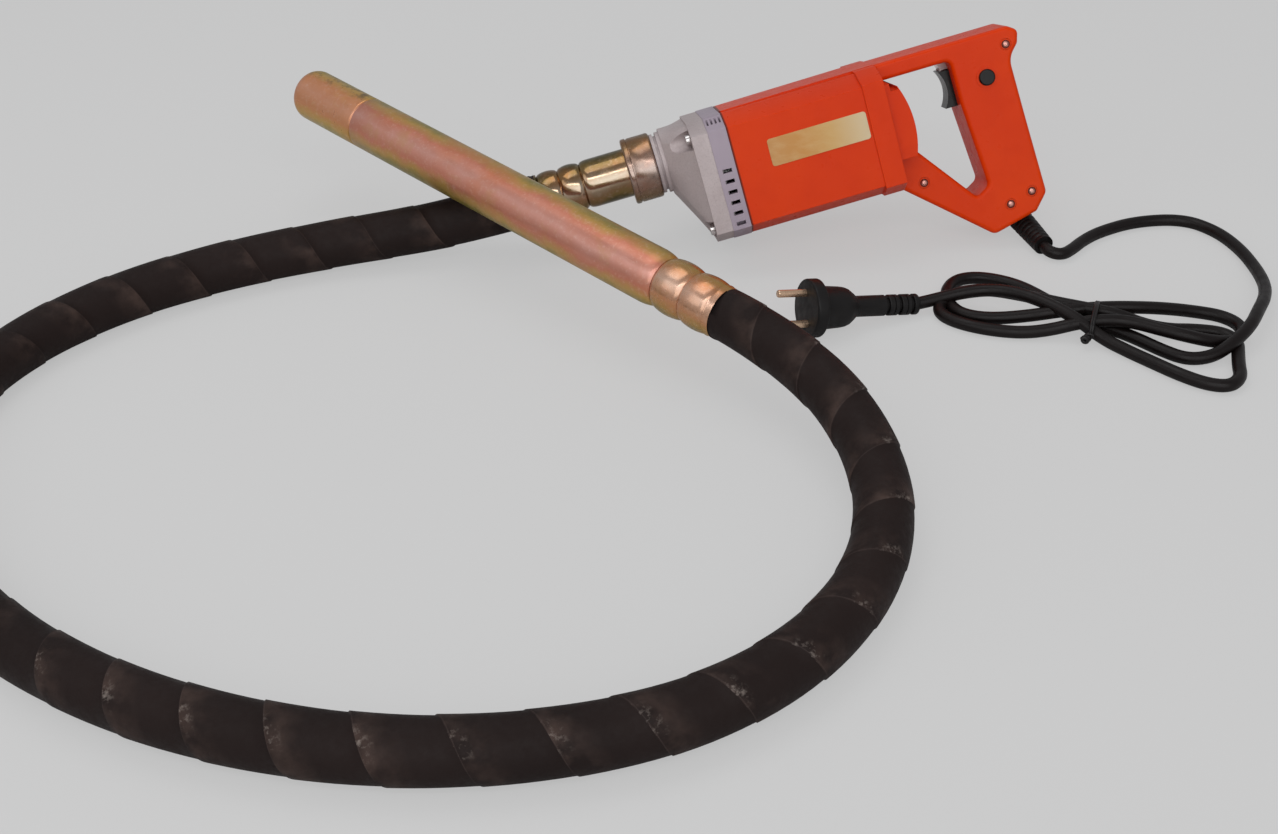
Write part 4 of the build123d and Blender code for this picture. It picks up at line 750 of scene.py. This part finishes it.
# Trigger and lock button: glossy black nylon mouldings that slide in the handle. The button keeps the
# pulled trigger in.
black = Finish("black_nylon", Specular_IOR_Level=0.24)
black.set("Base Color", black.mixed(black.noise(80, 4), rgb(8, 7, 7), rgb(18, 15, 15)))
black.set("Roughness", black.between(black.noise(300, 4), 0.3, 0.7, 0.14, 0.3))
black.bump(black.noise(700, 3), 0.00005, 0.5)
refined("trigger", black, 0.0012, 3)
refined("lock_button", black, 0.0002)

# Trigger shield: a small clear polycarbonate flap, held in the handle above the trigger. It keeps grit
# out of the switch.
clear = Finish("clear_flap", Roughness=0.22, IOR=1.5, Transmission_Weight=0.55)
clear.set("Base Color", clear.mixed(clear.noise(200, 3), rgb(214, 196, 192), rgb(232, 222, 220)))
clear.bump(clear.noise(700, 2), 0.00004, 0.4)
flap_at, flap_rise = 0.1525, 0.0271
flap_length, flap_width, flap_height = 0.0085, 0.0090, 0.0056
flap_mesh = bpy.data.meshes.new("trigger_flap")
shape = bmesh.new()
bmesh.ops.create_cube(shape, size=1.0)
for vertex in shape.verts:
    x, y, z = vertex.co
    slope = 0.0022 if z > 0 else 0.0
    vertex.co = (drive_origin + drive_axis * (flap_at + x * flap_length - slope * (0.5 - x))
                 + drive_near * y * flap_width + drive_up * (flap_rise + z * flap_height))
bmesh.ops.bevel(shape, geom=shape.edges[:], offset=0.0006, segments=2, affect="EDGES")
bmesh.ops.recalc_face_normals(shape, faces=shape.faces)
shape.to_mesh(flap_mesh)
shape.free()
flap = linked("trigger_flap", flap_mesh)
dress(flap, clear)
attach(flap, body_of["switch_body"])

# Poker head: a turned steel neck, barrel and nose, zinc-plated and yellow-passivated. Its colour bands are
# painted light: the pale pink middle facing the camera is a painted highlight, and the gold and green bands
# along the flanks are painted sheen.
head_origin = Vector((0.0038, -0.1502, 0.0473))
head_axis = Vector((-0.621990, 0.779222, 0.077074)).normalized()
head_side = Vector((0.541, 0.357, 0.762))
head_side = (head_side - head_axis * head_side.dot(head_axis)).normalized()
head_radius = 17.5


def passivated_zinc_with_painted_light(name, origin, side, radius, middle, flank_painted_light_and_cloud, rim_painted_light, roughness, metal):
    """Yellow-passivated zinc with painted light across the piece: a painted highlight in the middle and
    painted sheen at the flanks and rims, broken up by drifts, drag lines and rubs.
    """
    zinc = Finish(name, Metallic=metal)
    # Painted light: across the side, the middle gets a painted highlight and the flanks and rims get painted
    # sheen.
    share = zinc.between(zinc.distance(origin, side), -radius, radius, 0, 1)
    drift = zinc.between(zinc.noise(22, 5, 0.6), 0.3, 0.7, -0.1, 0.1)
    tone = zinc.ramp(zinc.math("ADD", share, drift),
                     [(0.0, rim_painted_light), (0.09, flank_painted_light_and_cloud), (0.22, middle[0]), (0.5, middle[1]), (0.74, middle[0]),
                      (0.9, flank_painted_light_and_cloud), (1.0, rim_painted_light)])
    copper_clouds = zinc.between(zinc.noise(30, 3, 0.6), 0.48, 0.7, 0, 0.4)
    specks = zinc.between(zinc.noise(420, 5, 0.75), 0.52, 0.72, 0, 0.28)
    flank_clouds = zinc.between(zinc.noise(34, 4, 0.7), 0.54, 0.74, 0, 0.4)
    tone = zinc.mixed(copper_clouds, tone, rgb(198, 120, 78))
    tone = zinc.mixed(specks, tone, rgb(230, 202, 186))
    zinc.set("Base Color", zinc.mixed(flank_clouds, tone, flank_painted_light_and_cloud))
    zinc.set("Roughness", zinc.between(zinc.noise(150, 4), 0.3, 0.7, roughness - 0.06, roughness + 0.1))
    zinc.bump(zinc.noise(600, 3, 0.6), 0.00004, 0.5)
    return zinc


def rolled(start, stop, low, crown, steps):
    """The profile of one rolled bulge of a crimped sleeve."""
    return [(start + (stop - start) * k / steps, low + crown * math.sin(math.pi * k / steps) ** 0.5)
            for k in range(steps + 1)]


# head_side lies across the view, so the painted highlight falls on the side that faces the camera.
head_zinc = passivated_zinc_with_painted_light("head_zinc", head_origin, head_side, head_radius / 1000,
                       (rgb(194, 122, 98), rgb(206, 150, 136)), rgb(186, 148, 78), rgb(142, 130, 58),
                       roughness=0.34, metal=0.62)
neck_zinc = passivated_zinc_with_painted_light("neck_zinc", head_origin, head_side, head_radius / 1000,
                       (rgb(188, 134, 96), rgb(212, 176, 154)), rgb(172, 138, 76), rgb(134, 120, 56),
                       roughness=0.24, metal=0.7)
nose_zinc = passivated_zinc_with_painted_light("nose_zinc", head_origin, head_side, head_radius / 1000,
                       (rgb(198, 134, 92), rgb(206, 148, 118)), rgb(190, 152, 76), rgb(156, 138, 62),
                       roughness=0.32, metal=0.62)
upper_edge = nose_zinc.between(nose_zinc.distance(head_origin, head_side), 0.0095, 0.0145, 0, 1)
scuffs = nose_zinc.between(nose_zinc.noise(110, 5, 0.75), 0.5, 0.6, 0, 0.75)
nose_tone = nose_zinc.shader.inputs["Base Color"].links[0].from_socket
worn = nose_zinc.math("MULTIPLY", upper_edge, scuffs)
nose_zinc.set("Base Color", nose_zinc.mixed(worn, nose_tone, rgb(84, 72, 58)))

neck_profile = [(0, 9.6), (0, 15.4), (0.6, 15.75), (3.6, 15.8), (4.4, 16.2)]
neck_profile += rolled(4.8, 25.0, 14.7, 2.3, 16) + rolled(25.0, 46.5, 14.7, 2.6, 16) + [(46.6, 9.6)]
head_neck = turned("head_neck", neck_profile, head_origin, head_axis, 128)
barrel_from, barrel_to, barrel_bore, groove = 46.62, 320.8, 12, 15.0
barrel_profile = [(barrel_from, barrel_bore), (barrel_from, groove)]
barrel_swell = head_radius - groove
barrel_profile += [(barrel_from + 1.2 * k, groove + barrel_swell * math.sin(math.pi * k / 18) ** 0.6)
                   for k in range(1, 10)]
barrel_profile += [(90 + 20 * k, head_radius) for k in range(11)]
barrel_profile += [(barrel_to - 0.6, head_radius), (barrel_to, 17.1), (barrel_to, barrel_bore)]
head_barrel = turned("head_barrel", barrel_profile, head_origin, head_axis, 128)
nose_from, nose_to, nose_round = 321.0, 386, 9.0
nose_profile = [(nose_from, barrel_bore), (nose_from, 16.9), (nose_from + 0.6, 17.4)]
nose_profile += [(at, head_radius) for at in (322.4, 340, 360, 376)]
nose_profile += arc((nose_to - nose_round, head_radius - nose_round), nose_round, 90, 0, 14)
nose_profile += [(nose_to, 0), (340, 0)]
head_nose = turned("head_nose", nose_profile, head_origin, head_axis, 128)
for piece, node, zinc in ((head_neck, "head_ferrule", neck_zinc), (head_barrel, "head_tube", head_zinc),
                          (head_nose, "tip_cap", nose_zinc)):
    dress(piece, zinc)
    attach(piece, body_of[node])
    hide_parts(node)

# Coupling nut: a turned steel collar with a beaded front edge. It turns freely on the hose's ferrule and
# screws onto the spigot of the gear case.
# Painted light: across drive_up, a paler middle as painted highlight and darker gold top and bottom as
# painted sheen.
nut_zinc = passivated_zinc_with_painted_light("nut_zinc", axis_foot, drive_up, 0.0219,
                      (rgb(142, 114, 98), rgb(176, 160, 152)), rgb(142, 116, 82), rgb(100, 88, 62),
                      roughness=0.24, metal=0.9)
nut_profile = [(-47.8, 14), (-47.8, 20.6), (-48.4, 21.3), (-49.2, 21.6), (-62.0, 21.6), (-62.6, 21.2),
               (-63.2, 21.2), (-63.6, 21.9), (-65.4, 21.9)]
nut_profile += arc((-65.4, 20.3), 1.6, 90, 180) + [(-67.0, 17.2), (-66.4, 16.3), (-66.0, 16.3), (-66.0, 14)]
nut = turned("coupling_nut_turned", nut_profile, axis_foot, drive_axis, 128)
dress(nut, nut_zinc)
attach(nut, body_of["coupling_nut"])
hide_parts("coupling_nut")

# Drive ferrule: a polished steel sleeve, zinc-plated and passivated like the head. It is crimped on the
# hose with two rolled bulges.
# Painted light: across drive_up, a pale middle as painted highlight and dark gold top and bottom as painted
# sheen.
ferrule_zinc = passivated_zinc_with_painted_light("ferrule_zinc", axis_foot, drive_up, 0.016,
                          (rgb(146, 116, 84), rgb(190, 176, 156)), rgb(134, 112, 68), rgb(92, 84, 52),
                          roughness=0.15, metal=0.95)
tail_profile = [(-60, 9.6), (-60, 16.0), (-91.5, 16.0), (-93.5, 15.9), (-95.6, 15.5), (-96.6, 14.9),
                (-97.1, 14.4)]
tail_profile += rolled(-97.2, -112.3, 13.9, 2.4, 12) + rolled(-112.3, -126.6, 13.9, 2.2, 12)
tail_profile += [(-126.8, 15.6), (-128, 15.7), (-128, 9.6)]
drive_tail = turned("drive_ferrule_turned", tail_profile, axis_foot, drive_axis, 128)
dress(drive_tail, ferrule_zinc)
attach(drive_tail, body_of["drive_ferrule"])
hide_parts("drive_ferrule")

# Inside the tool: ground shafts and gears, bearings, motor iron and windings, brush gear, switch and seals.
# Each finish has its metal share, its two colours, its roughness, its grain per metre and its pieces.
inner_finishes = {
    "machined_steel": (1.0, (176, 176, 178), (206, 206, 206), 0.24, 500,
                       ("spindle", "spindle_gear", "motor_pinion", "armature_shaft", "drive_stub",
                        "joint_ball", "pendulum", "core_drive_end", "core_head_end", "bearing_spacer")),
    "bearing_steel": (1.0, (188, 188, 190), (216, 216, 214), 0.16, 700,
                      ("spindle_front_bearing", "spindle_rear_bearing", "armature_front_bearing",
                       "armature_rear_bearing", "head_bearings")),
    "plate_casting": (0.3, (140, 134, 134), (164, 158, 156), 0.5, 900, ("bearing_plate",)),
    "laminated_iron": (0.8, (96, 94, 94), (126, 122, 120), 0.42, 260, ("armature_core", "stator_core")),
    "enamelled_copper": (0.5, (150, 78, 36), (184, 104, 52), 0.32, 1300,
                         ("armature_windings", "field_coils")),
    "copper_bars": (1.0, (190, 120, 78), (210, 146, 104), 0.28, 600, ("commutator",)),
    "brush_brass": (1.0, (190, 156, 92), (212, 182, 120), 0.3, 500, ("brush_holders",)),
    "brush_carbon": (0.1, (34, 34, 36), (52, 52, 54), 0.6, 900, ("carbon_brushes",)),
    "spring_steel": (1.0, (150, 150, 154), (186, 186, 188), 0.26, 600, ("brush_springs", "flexible_core")),
    "fan_nylon": (0.0, (64, 60, 58), (88, 84, 80), 0.4, 300, ("fan",)),
    "switch_nylon": (0.0, (30, 29, 30), (48, 46, 46), 0.45, 400, ("switch_body", "cord_clamp", "capacitor")),
    "lead_sleeving": (0.0, (70, 44, 32), (96, 62, 46), 0.5, 400, ("lead_wires",)),
    "seal_rubber": (0.0, (36, 32, 30), (52, 46, 44), 0.55, 500, ("oil_seal",)),
    "liner_polymer": (0.0, (160, 152, 138), (184, 176, 160), 0.45, 300, ("hose_liner",)),
}
for title, (metal, first, second, rough, grain, members) in inner_finishes.items():
    finish = Finish(title, Metallic=metal)
    finish.set("Base Color", finish.mixed(finish.noise(grain / 6, 4), rgb(*first), rgb(*second)))
    finish.set("Roughness", finish.between(finish.noise(grain, 4), 0.3, 0.7, rough - 0.08, rough + 0.12))
    finish.bump(finish.noise(grain * 1.5, 3), 0.00005, 0.4)
    for node in members:
        dress(cad[node], finish)
